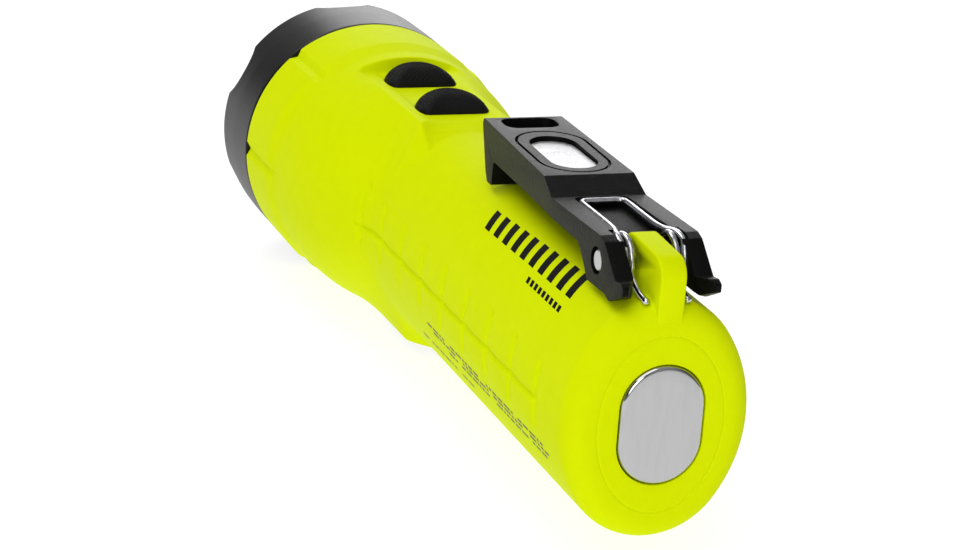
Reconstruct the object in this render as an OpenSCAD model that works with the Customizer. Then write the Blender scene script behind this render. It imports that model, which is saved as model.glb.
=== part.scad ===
// Firefighter's dual-light hand torch: spot beam forward (+X), flood light underneath,
// sprung magnetic clip and two rubber keys on top (+Z). The origin is the centre of the
// steel magnet plate on the tail, and the beam axis is the X axis.

/* [Housing] */
// Length from the tail plate to the bezel rim
total_len = 184; // [182:0.5:188]
// Diameter of the head collar and bezel
head_d = 52.4; // [52:0.1:53.2]
// Width of the oval handle, side to side
handle_w = 33.4; // [33.2:0.1:34.2]
// Height of the oval handle
handle_h = 42.1; // [42:0.1:42.8]
// Thickness of the moulded wall
wall = 2.2; // [2:0.1:2.3]
// Where the yellow collar meets the black bezel
seam_x = 164.4; // [164:0.1:165]
// How far the tail plate stands proud of the moulded tail
plate_proud = 0.5; // [0.3:0.1:0.8]

/* [Keys] */
// Height of the key platform above the beam axis
platform_z = 22.5; // [22.3:0.1:22.8]
// Half the width of the key platform
platform_hw = 9.2; // [9:0.1:9.6]
// Position of the rear key's straight edge
rear_key_x = 109.2; // [108.8:0.1:109.6]
// Position of the front key's straight edge
front_key_x = 129; // [128.6:0.1:129.2]
// Half the width of a key
key_hw = 7.1; // [6.8:0.1:7.2]
// Travel of a key
key_travel = 0.6; // [0.4:0.1:0.7]

/* [Clip] */
// Distance from the tail to the clip's hinge pin
pin_x = 13.2; // [13:0.1:13.6]
// Height of the clip's hinge pin above the beam axis
pin_z = 24.74; // [24.6:0.02:24.9]
// Diameter of the clip's hinge pin
pin_d = 3.7; // [3.4:0.1:3.8]
// Height of the clip's top face at its front edge
clip_top_z = 31.85; // [31.7:0.05:32.2]
// Wire diameter of the clip spring
wire_d = 1.1; // [1:0.05:1.15]

/* [Batteries] */
// Diameter of one AA cell
cell_d = 14.4; // [14:0.1:14.5]
// Length of one AA cell with its terminal
cell_len = 50.4; // [50:0.1:50.5]

/* [Hidden] */
$fn = 64;
eps = 0.01;
slip = 0.3;                       // gap between parts that move past each other
tail_x = plate_proud;             // the moulded tail face
head_r = head_d / 2;
bezel_front_x = total_len;

// Four-centre oval of the handle: end circles on Z, flatter side arcs on Y
oval_a = handle_h / 2;
oval_b = handle_w / 2;
end_r = 14.6;
end_c = oval_a - end_r;
side_r = (oval_b * oval_b + end_c * end_c - end_r * end_r) / (2 * (oval_b - end_r));
side_c = side_r - oval_b;
blend_angle = atan2(end_c, side_c);
tail_round = 3.6;
tail_plate_t = 2.1;
tail_magnet_t = 3.9;

// Head and collar, as radii of revolution about the beam axis
collar_x = 149.5;
collar_foot_x = 145.5;
collar_step = 0.75;
bulge_x = 141;
bulge_r = head_r - 0.9;
bulge_arc = 72;
head_start_x = 104;

// Spigot that the bezel screws onto, and the bezel's seats
spigot_end_x = seam_x + 9.6;
spigot_r = 23.3;
thread_r = 23.4;
thread_x = seam_x + 4.6;
seal_x = seam_x + 2.6;
seal_r = 22.85;
seal_wire_r = 0.75;
head_bore_r = 20.9;
bezel_gap = 0.3;
lens_x = spigot_end_x + 1.4;
lens_t = 3;
lens_r = 22.9;
gasket_t = 0.9;
lip_x = lens_x + lens_t + gasket_t + 0.1;
lip_r = 20.4;
scallops = 6;
scallop_depth = 3.1;
scallop_r = 6.7;
scallop_turn = 2.5;               // degrees from straight up

// Inside the handle and head
cavity_x = 7.2;
cavity_oval_end = 117;
neck_x = 134;

// Key platform
platform_x = 103.6;
platform_end_x = 140.6;
ramp_x = 98;
bay_hw = 8.6;
bay_top_z = platform_z - 2.1;
bay_x = 107;
bay_end_x = 142;
key_len = 10.6;
key_corner = 2;
key_top_z = platform_z + 3.35;
key_dome_r = 9.1;
key_dome_x = 4.6;
switch_base_z = 16.1;
switch_top_z = 18.1;
board_t = 1;
switch_size = 6.2;
plunger_r = 1.7;
plunger_top_z = 18.85;

// Flood light under the neck
flood_z = -23;
flood_hw = 8.3;
flood_x = 100.6;
flood_end_x = 133;
flood_lens_x = 118;
flood_lens_len = 27;
flood_lens_w = 12.6;
flood_lens_t = 2.2;
flood_board_z = -18.3;

// Grip grooves on both sides of the handle
groove_pitch = 12.15;
groove_first_x = 16;
groove_count = 8;
groove_w = 1.1;
groove_depth = 0.55;
groove_half = 6.2;

// Clip outline, seen from the side
clip_front_x = 74.4;
clip_step_x = 40.1;
clip_step_z = 31.15;
clip_low_x = 34.8;
clip_low_z = 28.7;
clip_rear_z = 29.4;
clip_under_z = 25.6;
jaw_back_x = 67;
jaw_tip_z = 20.9;
ear_bottom_z = 20.2;
clip_hw_front = 7.47;
clip_hw_rear = 8.7;
ear_gap = 5;
tab_w = 4.6;
gap_end_x = 18.5;
pocket_floor_z = 27.4;
clip_plate_x = 52.8;

// Clip spring: coil on each side of the pivot tab, joined by a loop over the arm
coil_r = 4;
coil_grow = 0.45;                 // the coil is a little conical, so that its turns clear each other
coil_y0 = 3.1;
coil_y1 = 4.3;
coil_sweep = 460;                 // degrees from the foot's leg to the loop's leg
coil_steps = 18;
loop_x = 33.5;
loop_z = 28.35;
loop_hw = 4.05;
foot_x = 2.8;
foot_z = 21.35;
foot_y = 3.64;

// Battery carrier
carrier_x = 7.5;
carrier_end_t = 1.8;
contact_t = 0.4;
cell_z = 7.4;
cell_gap = 0.05;
cell_spring = 2.1;
tail_contact_x = carrier_x + carrier_end_t + contact_t;
front_contact_x = tail_contact_x + 2 * cell_len + cell_gap + cell_spring;
carrier_end_x = front_contact_x + contact_t + carrier_end_t;

// Driver, heat sink and spot light
driver_x = carrier_end_x + 5;
driver_r = 17;
sink_x = 143.6;
sink_face_x = 150;
led_x = sink_face_x + 1.6;
mirror_x = led_x + 0.6;
mirror_focus = 4.35;
mirror_mouth_r = 19.4;
mirror_t = 1;

yellow = [0.84, 0.92, 0.02];
black = [0.11, 0.11, 0.11];
steel = [0.78, 0.78, 0.8];
green = [0.1, 0.42, 0.2];

// Radius of the head's rear bulge at a distance x from the tail
function bulge(x) = bulge_r - bulge_arc + sqrt(pow(bulge_arc, 2) - pow(bulge_x - x, 2));
// Radius of the spot reflector at x
function mirror(x) = 2 * sqrt(mirror_focus * (x - mirror_x));

// Turn a shape drawn about Z so that it runs along X
module along_x(x = 0) {
    translate([x, 0, 0]) rotate([0, 90, 0]) children();
}

// Extrude an outline drawn in X and Z across the width, centred on Y
module across_y(width) {
    rotate([90, 0, 0]) linear_extrude(width, center = true) children();
}

// Handle section, its long axis on 2-D X, drawn smaller all round by inset
module oval(inset = 0) {
    tangent = end_c + (end_r - inset) * sin(blend_angle);
    for (s = [-1, 1]) translate([s * end_c, 0]) circle(end_r - inset, $fn = 96);
    intersection() {
        square([2 * tangent, handle_w], center = true);
        translate([0, side_c]) circle(side_r - inset, $fn = 160);
        translate([0, -side_c]) circle(side_r - inset, $fn = 160);
    }
}

// Outline of the handle along X, its two tail corners rounded; half_h is half its height
module rounded_outline(half_h, f) {
    translate([tail_x + f, -half_h]) square([neck_x - tail_x - f, 2 * half_h]);
    translate([tail_x, f - half_h]) square([2 * f, 2 * (half_h - f)]);
    for (s = [-1, 1]) translate([tail_x + f, s * (half_h - f)]) circle(f);
}

// Oblong outline with rounded corners
module rounded_box(length, width, r) {
    square([length, width - 2 * r], center = true);
    square([length - 2 * r, width], center = true);
    for (x = [-1, 1], y = [-1, 1]) translate([x * (length / 2 - r), y * (width / 2 - r)]) circle(r);
}

// Slot outline with round ends, its long axis on 2-D X
module obround(length, width) {
    straight = length - width;
    square([straight, width], center = true);
    for (s = [-1, 1]) translate([s * straight / 2, 0]) circle(width / 2);
}

// Obround plate that stands on Z with a bevel round its top edge
module bevelled_plate(length, width, height, bevel) {
    straight = length - width;
    r = width / 2;
    linear_extrude(height - bevel) obround(length, width);
    translate([0, 0, height - bevel]) {
        for (s = [-1, 1]) translate([s * straight / 2, 0, 0]) cylinder(h = bevel, r1 = r, r2 = r - bevel);
        rotate([90, 0, 90]) linear_extrude(straight, center = true)
            polygon([[-r, 0], [r, 0], [r - bevel, bevel], [bevel - r, bevel]]);
    }
}

// Key outline: straight towards the tail, round towards the head; x = 0 is the straight edge
module key_outline(grow = 0) {
    r = key_hw + grow;
    centre = key_len - key_hw;
    corner = key_corner + grow;
    intersection() {
        translate([centre, 0]) circle(r);
        translate([centre, -r]) square([r, 2 * r]);
    }
    translate([key_corner, -r]) square([centre - key_corner, 2 * r]);
    for (s = [-1, 1]) translate([key_corner, s * (key_hw - key_corner)]) circle(corner);
    translate([-grow, key_corner - key_hw]) square([corner, 2 * (key_hw - key_corner)]);
}

// Ring about the beam axis
module ring(x, t, outer, inner) {
    along_x(x) difference() {
        cylinder(h = t, r = outer, $fn = 128);
        translate([0, 0, -1]) cylinder(h = t + 2, r = inner, $fn = 128);
    }
}

// Wire of round section swept along a list of points
function unit(v) = v / norm(v);
function tangent(p, i) = unit(p[min(i + 1, len(p) - 1)] - p[max(i - 1, 0)]);
function frame_up(p, i) = i == 0
    ? unit(cross(tangent(p, 0), [0.31, 0.2, 0.93]))
    : let (t = tangent(p, i), u = frame_up(p, i - 1)) unit(u - t * (u * t));
function wire_ring(p, u, i, r, n) = [
    for (k = [0 : n - 1]) let (a = 360 * k / n, t = tangent(p, i), w = cross(t, u))
        p[i] + r * (cos(a) * u + sin(a) * w)
];
function ups(p) = [
    for (i = 0, u = frame_up(p, 0);
        i < len(p);
        i = i + 1, u = i < len(p) ? let (t = tangent(p, i)) unit(u - t * (u * t)) : u) u
];
module wire(p, r, n = 8) {
    u = ups(p);
    rings = [for (i = [0 : len(p) - 1]) each wire_ring(p, u[i], i, r, n)];
    last = (len(p) - 1) * n;
    sides = [
        for (i = [0 : len(p) - 2], k = [0 : n - 1])
            [i * n + k, i * n + (k + 1) % n, (i + 1) * n + (k + 1) % n, (i + 1) * n + k]
    ];
    polyhedron(
        rings,
        concat([[for (k = [n - 1 : -1 : 0]) k]], sides, [[for (k = [0 : n - 1]) last + k]]),
        convexity = 10
    );
}

// ---- Housing ----

module handle_outer() {
    f = tail_round;
    intersection() {
        along_x() linear_extrude(neck_x) oval();
        linear_extrude(2 * handle_h, center = true) rounded_outline(oval_b, f);
        across_y(2 * handle_w) rounded_outline(oval_a, f);
    }
}

module head_outer() {
    steps = 9;
    back = [
        for (i = [0 : steps]) let (x = head_start_x + (bulge_x - head_start_x) * i / steps)
            [bulge(x), x]
    ];
    along_x() rotate_extrude($fn = 128) polygon(concat(
        [[0, head_start_x]],
        back,
        [[head_r - collar_step, collar_foot_x], [head_r, collar_x], [head_r, seam_x]],
        [[0, seam_x]]
    ));
    along_x(seam_x - 1) cylinder(h = spigot_end_x - seam_x + 1, r = spigot_r, $fn = 128);
    along_x(thread_x) cylinder(h = spigot_end_x - thread_x, r = thread_r, $fn = 128);
}

// Raised bed for the keys, with a ramp down to the handle
module platform() {
    foot_hw = platform_hw + 3;
    intersection() {
        rotate([90, 0, 90]) linear_extrude(platform_end_x)
            polygon([[-platform_hw, platform_z], [platform_hw, platform_z], [foot_hw, 12], [-foot_hw, 12]]);
        across_y(3 * platform_hw) polygon([
            [ramp_x - 4, 12], [ramp_x - 2, oval_a - 3], [ramp_x, oval_a - 0.4], [platform_x, platform_z],
            [platform_end_x, platform_z], [platform_end_x, 12]
        ]);
    }
}

// Raised seat of the flood light under the neck
module flood_housing() {
    foot_hw = 14.4;
    intersection() {
        rotate([90, 0, 90]) linear_extrude(flood_end_x)
            polygon([[-flood_hw, flood_z], [flood_hw, flood_z], [foot_hw, -10], [-foot_hw, -10]]);
        across_y(3 * foot_hw) polygon([
            [flood_x - 4, -10], [flood_x - 2.5, -19], [flood_x + 0.6, -22.2], [flood_x + 3, flood_z],
            [flood_end_x, flood_z], [flood_end_x, -10]
        ]);
    }
}

// Pivot tab that stands up from the tail between the clip's ears
module pivot_tab() {
    r = 4.3;
    across_y(tab_w) polygon([
        [tail_x, 15], [tail_x, 25.4], [tail_x + 0.7, 27], [tail_x + 2.5, 28.1], [tail_x + 5.8, 28.8],
        [pin_x, pin_z + r], [pin_x, 15]
    ]);
    translate([pin_x, 0, pin_z]) rotate([90, 0, 0]) cylinder(h = tab_w, r = r, center = true);
    translate([pin_x - 1, -tab_w / 2, 15]) cube([r + 1, tab_w, pin_z - 15]);
}

module grip_grooves() {
    depth_y = oval_b - groove_depth;
    last_x = groove_first_x + groove_count * groove_pitch;
    for (s = [-1, 1]) {
        for (i = [0 : groove_count])
            translate([groove_first_x + i * groove_pitch - groove_w / 2, s * (depth_y + 3) - 3, -groove_half])
                cube([groove_w, 6, 2 * groove_half]);
        translate([groove_first_x, s * (depth_y + 3) - 3, -groove_w / 2])
            cube([last_x - groove_first_x, 6, groove_w]);
    }
}

module collar_notches() {
    notch_r = 0.9;
    for (a = [40, 90, 140, 220, 270, 320])
        rotate([a, 0, 0]) translate([147, 0, head_r + 0.1]) rotate([0, 90, 0])
            cylinder(h = seam_x - 146.9, r = notch_r, $fn = 32);
}

module body_cavities() {
    // batteries
    along_x(cavity_x) linear_extrude(cavity_oval_end - cavity_x) oval(wall);
    // neck and head
    along_x() rotate_extrude($fn = 128) polygon([
        [0, cavity_oval_end - 1], [17.4, cavity_oval_end - 1], [head_bore_r, neck_x],
        [head_bore_r, spigot_end_x + 1], [0, spigot_end_x + 1]
    ]);
    // switch bay under the platform, and the two key openings
    translate([bay_x, -bay_hw, 8]) cube([bay_end_x - bay_x, 2 * bay_hw, bay_top_z - 8]);
    for (x = [rear_key_x, front_key_x]) translate([x, 0, bay_top_z - 1]) linear_extrude(6) key_outline();
    // flood light: board bay, light opening and lens seat
    translate([104, -6, flood_board_z - 0.03]) cube([29, 12, 9]);
    translate([flood_lens_x, 0, flood_z - 1]) linear_extrude(6)
        obround(flood_lens_len - 4, flood_lens_w - 4);
    translate([flood_lens_x, 0, flood_z - 5]) linear_extrude(5 + flood_lens_t + 0.7)
        obround(flood_lens_len + 0.3, flood_lens_w + 0.3);
    // tail magnet and its plate
    along_x(-1) linear_extrude(tail_plate_t + tail_magnet_t + 1.1) obround(21.2, 15.3);
    // seal groove on the spigot
    ring(seal_x - 1.05, 2.1, thread_r + 3, seal_r - seal_wire_r - 0.05);
}

module body_shell() {
    color(yellow) difference() {
        union() {
            handle_outer();
            difference() {
                head_outer();
                // the key bed is sunk into the head's bulge
                translate([90, -platform_hw, platform_z])
                    cube([platform_end_x - 90, 2 * platform_hw, 10]);
                // the flood light's face is sunk into it too
                translate([90, -flood_hw, flood_z - 10]) cube([flood_end_x - 90, 2 * flood_hw, 10]);
            }
            platform();
            flood_housing();
            pivot_tab();
        }
        body_cavities();
        grip_grooves();
        collar_notches();
        // pivot bore, a running fit on the pin
        translate([pin_x, 0, pin_z]) rotate([90, 0, 0])
            cylinder(h = 12, r = pin_d / 2 + 0.05, center = true);
        // hollows under the clip spring's coils
        for (s = [-1, 1]) translate([pin_x, s * (tab_w / 2 + 1.4), pin_z]) rotate([90, 0, 0])
            cylinder(h = 2.8, r = coil_r + coil_grow + wire_d / 2 + slip, center = true);
        // flat that the clip's jaw closes on
        translate([62, -5, oval_a - 0.6]) cube([14, 10, 3]);
    }
}

module tail_magnet() {
    color(steel) along_x(tail_plate_t + 0.05) linear_extrude(tail_magnet_t) obround(19.8, 13.8);
}

module tail_plate() {
    color(steel) mirror([1, 0, 0]) along_x(-tail_plate_t) bevelled_plate(20.9, 15, tail_plate_t, 0.9);
}

// ---- Power ----

module battery_carrier() {
    clearance = wall + 0.7;
    rail_half = 10.2;
    flat_half = 14.9;
    color(black) difference() {
        union() {
            along_x(carrier_x) linear_extrude(carrier_end_t) oval(clearance);
            // the front plate is cut flat to clear the key and flood boards
            along_x(carrier_end_x - carrier_end_t) linear_extrude(carrier_end_t) intersection() {
                oval(clearance);
                square([2 * flat_half, handle_w], center = true);
            }
            along_x(carrier_x) linear_extrude(carrier_end_x - carrier_x) difference() {
                square([7, 2 * rail_half], center = true);
                for (s = [-1, 1]) translate([s * cell_z, 0]) circle(cell_d / 2 + 0.3);
            }
        }
        // windows in the rails let the cells be gripped
        for (s = [-1, 1]) translate([48, s * (rail_half - 1) - 3, -5]) cube([26, 6, 10]);
        for (s = [-1, 1]) translate([carrier_end_x - 3, 0, s * cell_z]) rotate([0, 90, 0])
            cylinder(h = 4, r = 2.03);
    }
}

module cell() {
    nub = 1.2;
    cylinder(h = cell_len - nub, r = cell_d / 2);
    cylinder(h = cell_len, r = 2.7);
}

// Two columns of two cells, facing opposite ways; each column is pushed against its contact
module battery_cells() {
    color("slategray") for (i = [0, 1]) {
        x = tail_contact_x + i * (cell_len + cell_gap);
        translate([x + cell_spring - 0.03, 0, cell_z]) rotate([0, 90, 0]) cell();
        translate([x + cell_len + 0.02, 0, -cell_z]) rotate([0, -90, 0]) cell();
    }
}

module cell_contacts() {
    color("goldenrod") {
        // two discs and a narrow bridge across the tail end join both columns
        along_x(tail_contact_x - contact_t) linear_extrude(contact_t) {
            for (s = [-1, 1]) translate([s * cell_z, 0]) circle(4.5);
            square([2 * cell_z, 2], center = true);
        }
        // a disc and a stud through the front plate for each column
        for (s = [-1, 1]) translate([front_contact_x, 0, s * cell_z]) rotate([0, 90, 0]) {
            cylinder(h = contact_t, r = 4.5);
            cylinder(h = contact_t + carrier_end_t + 0.6, r = 2);
        }
    }
}

// Conical contact spring along X from x0 to x1, about the cell axis at height z
function cone_coil(x0, x1, z, turns, r0, r1) = [
    for (i = [0 : 12 * turns]) let (f = i / (12 * turns), a = 360 * turns * f, r = r0 + (r1 - r0) * f)
        [x0 + (x1 - x0) * f, r * cos(a), z + r * sin(a)]
];

module contact_springs() {
    r = 0.3;
    gap = r + 0.02;
    color("silver") {
        wire(cone_coil(tail_contact_x + gap, tail_contact_x + cell_spring - 0.03 - gap, cell_z, 3, 4, 2.4), r, 6);
        wire(cone_coil(front_contact_x - gap, front_contact_x - cell_spring + 0.07 + gap, -cell_z, 3, 4, 2.4), r, 6);
    }
}

module driver_board() {
    color(green) difference() {
        intersection() {
            along_x(driver_x) cylinder(h = 1.6, r = driver_r, $fn = 128);
            translate([driver_x - 1, -driver_r, -16]) cube([4, 2 * driver_r, 27.4]);
        }
        for (s = [-1, 1]) translate([driver_x, 0, s * cell_z]) rotate([0, 90, 0])
            cylinder(h = 10, r = 1.05, center = true);
    }
}

module driver_parts() {
    color("dimgray") {
        translate([driver_x + 1.6, -14, -4]) cube([4.2, 6, 8]);
        translate([driver_x + 1.6, 8.5, -3]) cube([1.6, 5, 6]);
        translate([driver_x + 1.6, -3, -13.5]) cube([2.4, 6, 4]);
        for (y = [-7, -4.6, -2.2]) translate([driver_x + 1.6, y, 2]) cube([0.8, 1.4, 2.6]);
    }
}

// Sprung pins that carry the current from the carrier to the driver board
module contact_pins() {
    color("gold") for (s = [-1, 1]) translate([carrier_end_x + 0.65, 0, s * cell_z]) rotate([0, 90, 0]) {
        cylinder(h = driver_x + 2.4 - carrier_end_x - 0.65, r = 1);
        translate([0, 0, 1.4]) cylinder(h = driver_x - carrier_end_x - 2.1, r = 1.5);
    }
}

// ---- Spot light ----

module heat_sink() {
    face_t = 3.2;
    fins = 10;
    color("lightgray") difference() {
        along_x(sink_x) cylinder(h = sink_face_x - sink_x, r = head_bore_r - slip, $fn = 128);
        // cooling slots from the back, leaving a solid face and hub
        for (i = [0 : fins - 1]) rotate([i * 360 / fins, 0, 0])
            translate([sink_x - 1, 9, -1.6]) cube([sink_face_x - sink_x - face_t + 1, 14, 3.2]);
        for (s = [-1, 1]) {
            translate([sink_x, s * 6, 0]) rotate([0, 90, 0]) cylinder(h = 20, r = 1.2, center = true);
            rotate([s * 90 + 45, 0, 0]) translate([sink_face_x - 6, 0, 9.4]) rotate([0, 90, 0])
                cylinder(h = 8, r = 1.05);
        }
    }
}

module led_board() {
    color("white") difference() {
        along_x(sink_face_x) cylinder(h = 1.6, r = 12.5, $fn = 96);
        for (s = [-1, 1]) rotate([s * 90 + 45, 0, 0]) translate([sink_face_x, 0, 9.4]) rotate([0, 90, 0])
            cylinder(h = 8, r = 1.3, center = true);
    }
}

module led_screws() {
    color("silver") for (s = [-1, 1]) rotate([s * 90 + 45, 0, 0])
        translate([sink_face_x - 4.6, 0, 9.4]) rotate([0, 90, 0]) difference() {
            union() {
                cylinder(h = 6.2, r = 1);
                translate([0, 0, 6.25]) cylinder(h = 1.4, r = 1.9);
                translate([0, 0, 6]) cylinder(h = 1, r = 1);
            }
            translate([0, 0, 6.9]) cylinder(h = 2, r = 0.8, $fn = 6);
        }
}

module main_led() {
    half = 2.5;
    color("gold") {
        translate([led_x, -half, -half]) cube([1.1, 2 * half, 2 * half]);
        intersection() {
            translate([led_x + 1, 0, 0]) sphere(r = 2.1);
            translate([led_x + 1, -3, -3]) cube([3, 6, 6]);
        }
    }
}

module led_leads() {
    color("red") for (s = [-1, 1]) translate([driver_x + 1.6, s * 6, 0]) rotate([0, 90, 0])
        cylinder(h = sink_face_x - driver_x - 1.6, r = 0.8);
}

module reflector() {
    steps = 14;
    start = mirror_x + 1.4;
    inner = [
        for (i = [0 : steps]) let (x = start + (spigot_end_x - start) * i / steps)
            [min(mirror(x), mirror_mouth_r), x]
    ];
    outer = [for (i = [steps : -1 : 0]) [inner[i][0] + mirror_t, inner[i][1]]];
    color("silver") {
        along_x() rotate_extrude($fn = 128) polygon(concat(inner, outer));
        ring(spigot_end_x, 1.2, lens_r - 0.1, mirror_mouth_r);
    }
}

module bezel_seal() {
    color(black) along_x(seal_x) rotate_extrude($fn = 128) translate([seal_r, 0]) circle(seal_wire_r, $fn = 32);
}

module lens() {
    color([0.9, 0.95, 1, 0.4]) ring(lens_x, lens_t, lens_r, 0);
}

module lens_gasket() {
    color(black) ring(lens_x + lens_t + 0.03, gasket_t, lens_r, lip_r + 0.4);
}

// Screw-on ring with six shallow scallops in its rim
module bezel() {
    rear_x = seam_x + bezel_gap;
    color(black) difference() {
        along_x(rear_x) {
            cylinder(h = bezel_front_x - rear_x - 0.8, r = head_r, $fn = 160);
            translate([0, 0, bezel_front_x - rear_x - 0.8]) cylinder(h = 0.8, r1 = head_r, r2 = head_r - 0.8, $fn = 160);
        }
        along_x() rotate_extrude($fn = 128) polygon([
            [0, rear_x - 1], [spigot_r + 0.65, rear_x - 1], [spigot_r + 0.65, thread_x - 0.3],
            [thread_r + 0.06, thread_x - 0.1], [thread_r + 0.06, spigot_end_x + 0.3],
            [lens_r + 0.2, spigot_end_x + 0.5], [lens_r + 0.2, lip_x], [lip_r, lip_x],
            [lip_r, lip_x + 1.1], [head_r - 2, bezel_front_x + eps], [head_r - 2, bezel_front_x + 1],
            [0, bezel_front_x + 1]
        ]);
        for (i = [0 : scallops - 1]) rotate([-scallop_turn - i * 360 / scallops, 0, 0])
            translate([bezel_front_x - scallop_depth + scallop_r, 0, lip_r - 2]) cylinder(h = 10, r = scallop_r);
    }
}

// ---- Switches ----

module switch_board() {
    color(green) translate([bay_x + 1, -7.6, switch_base_z - board_t])
        cube([bay_end_x - bay_x - 2, 15.2, board_t]);
}

module switch_at(x) {
    color("dimgray") translate([x + 5.2, 0, 0]) difference() {
        translate([-switch_size / 2, -switch_size / 2, switch_base_z])
            cube([switch_size, switch_size, switch_top_z - switch_base_z]);
        translate([0, 0, switch_base_z + 0.5]) cylinder(h = 5, r = plunger_r + 0.08);
    }
}

module switch_front() {
    switch_at(front_key_x);
}

module switch_rear() {
    switch_at(rear_key_x);
}

module plunger_at(x) {
    sunk = 0.85;
    color(black) translate([x + 5.2, 0, switch_top_z - sunk])
        cylinder(h = plunger_top_z - switch_top_z + sunk, r = plunger_r);
}

module plunger_front() {
    plunger_at(front_key_x);
}

module plunger_rear() {
    plunger_at(rear_key_x);
}

// Rubber frame that seals the bay round both keys
module switch_boot() {
    color(black) difference() {
        translate([bay_x + 0.2, 0.2 - bay_hw, bay_top_z - 1.3])
            cube([bay_end_x - bay_x - 0.4, 2 * bay_hw - 0.4, 1.25]);
        for (x = [rear_key_x, front_key_x]) translate([x, 0, bay_top_z - 3]) linear_extrude(6)
            key_outline(0.9);
    }
}

// Rubber key: domed cap, flange under the bed, and a stem down to its switch
module key_at(x) {
    stem_r = 2;
    color(black) translate([x, 0, 0]) {
        intersection() {
            translate([0, 0, bay_top_z - 0.5]) linear_extrude(6) key_outline(-slip);
            translate([key_dome_x, 0, key_top_z - key_dome_r]) sphere(r = key_dome_r, $fn = 96);
        }
        translate([0, 0, bay_top_z - 0.9]) linear_extrude(0.8) key_outline(0.5);
        translate([5.2, 0, plunger_top_z + 0.03]) cylinder(h = bay_top_z - plunger_top_z, r = stem_r);
    }
}

module key_front() {
    key_at(front_key_x);
}

module key_rear() {
    key_at(rear_key_x);
}

// ---- Flood light ----

module flood_lens() {
    color([0.9, 0.95, 1, 0.4]) translate([flood_lens_x, 0, flood_z]) linear_extrude(flood_lens_t)
        obround(flood_lens_len, flood_lens_w);
}

module flood_gasket() {
    color(black) translate([flood_lens_x, 0, flood_z + flood_lens_t + 0.03]) linear_extrude(0.6) difference() {
        obround(flood_lens_len, flood_lens_w);
        obround(flood_lens_len - 3.6, flood_lens_w - 3.6);
    }
}

module flood_board() {
    color("white") translate([flood_lens_x - 13, -5.4, flood_board_z]) cube([26, 10.8, 1.2]);
}

module flood_leds() {
    color("gold") for (i = [-1 : 1]) translate([flood_lens_x + 7 * i - 1.6, -1.6, flood_board_z - 0.7])
        cube([3.2, 3.2, 0.7]);
}

// ---- Clip ----

// Side view of the clip, from the jaw at the front to the thumb lips at the back
module clip_profile() {
    polygon([
        [clip_front_x - 0.4, clip_top_z], [clip_step_x, clip_step_z], [clip_low_x, clip_low_z],
        [12.6, clip_rear_z], [10.8, clip_rear_z - 0.3], [4.6, 24.1], [2, 24.3], [1, 23.7], [1, 22.5],
        [6.6, ear_bottom_z - 0.5], [8.8, ear_bottom_z + 0.1], [16.6, ear_bottom_z], [18.9, 22.9],
        [21.5, 25.35], [jaw_back_x, clip_under_z], [jaw_back_x + 0.2, jaw_tip_z + 0.2], [jaw_back_x + 1, jaw_tip_z], [clip_front_x - 4.6, jaw_tip_z], [clip_front_x - 3.7, jaw_tip_z + 1],
        [clip_front_x, clip_top_z - 1]
    ]);
}

module clip_arm() {
    rear_hw = clip_hw_rear;
    color(black) difference() {
        intersection() {
            across_y(2 * rear_hw + 2) clip_profile();
            linear_extrude(40) polygon([
                [clip_front_x + 1, -clip_hw_front], [clip_low_x, -rear_hw], [0, -rear_hw],
                [0, rear_hw], [clip_low_x, rear_hw], [clip_front_x + 1, clip_hw_front]
            ]);
        }
        // gap between the ears, and the spring's bed in front of it
        translate([-1, -ear_gap, 10]) cube([gap_end_x + 1, 2 * ear_gap, 30]);
        translate([gap_end_x - 1, -ear_gap, pocket_floor_z]) cube([loop_x + 1.3 - gap_end_x + 1, 2 * ear_gap, 10]);
        // undersides of the ears slope with the handle
        for (s = [-1, 1]) translate([-1, s * ear_gap, 22.1]) rotate([s * -26.6, 0, 0])
            translate([0, s > 0 ? -1 : -7, -6]) cube([21, 8, 6]);
        // the ears' lips taper off towards the spring
        for (s = [-1, 1]) translate([0, 0, 10]) linear_extrude(14.2)
            polygon([[-1, s * (ear_gap - 0.1)], [5.6, s * (ear_gap - 0.1)], [1, s * 7.7], [-1, s * 7.7]]);
        // the jaw's edge follows the handle's flat top
        along_x(60) cylinder(h = 20, r = oval_a + 0.05, $fn = 128);
        // jaw slot
        translate([70, 0, clip_top_z - 2.6]) linear_extrude(5) rounded_box(5.8, 10.4, 2.2);
        // magnet pocket, plate recess and the fine groove round it
        translate([clip_plate_x, 0, clip_under_z + 0.9]) linear_extrude(10) obround(15.6, 7.8);
        translate([clip_plate_x, 0, clip_step_z - 0.9]) linear_extrude(10) obround(18.6, 8.8);
        translate([clip_plate_x, 0, clip_step_z - 0.3]) linear_extrude(10) difference() {
            obround(23.6, 13.2);
            obround(22.8, 12.4);
        }
        // hinge pin bore and the sinking round each pin end
        translate([pin_x, 0, pin_z]) rotate([90, 0, 0]) {
            cylinder(h = 30, r = pin_d / 2 + 0.01, center = true);
            for (s = [-1, 1]) translate([0, 0, s * (rear_hw + 1 - 0.6)]) cylinder(h = 2, r = pin_d / 2 + 0.5, center = true);
        }
    }
}

module clip_magnet() {
    color(steel) translate([clip_plate_x, 0, clip_under_z + 0.93]) linear_extrude(clip_step_z - clip_under_z - 1.86)
        obround(15.4, 7.6);
}

module clip_plate() {
    color(steel) translate([clip_plate_x, 0, clip_step_z - 0.89]) linear_extrude(0.45) obround(18.3, 8.5);
}

module clip_pin() {
    color(steel) translate([pin_x, 0, pin_z]) rotate([90, 0, 0])
        cylinder(h = 2 * clip_hw_rear - 0.5, r = pin_d / 2, center = true);
}

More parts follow.
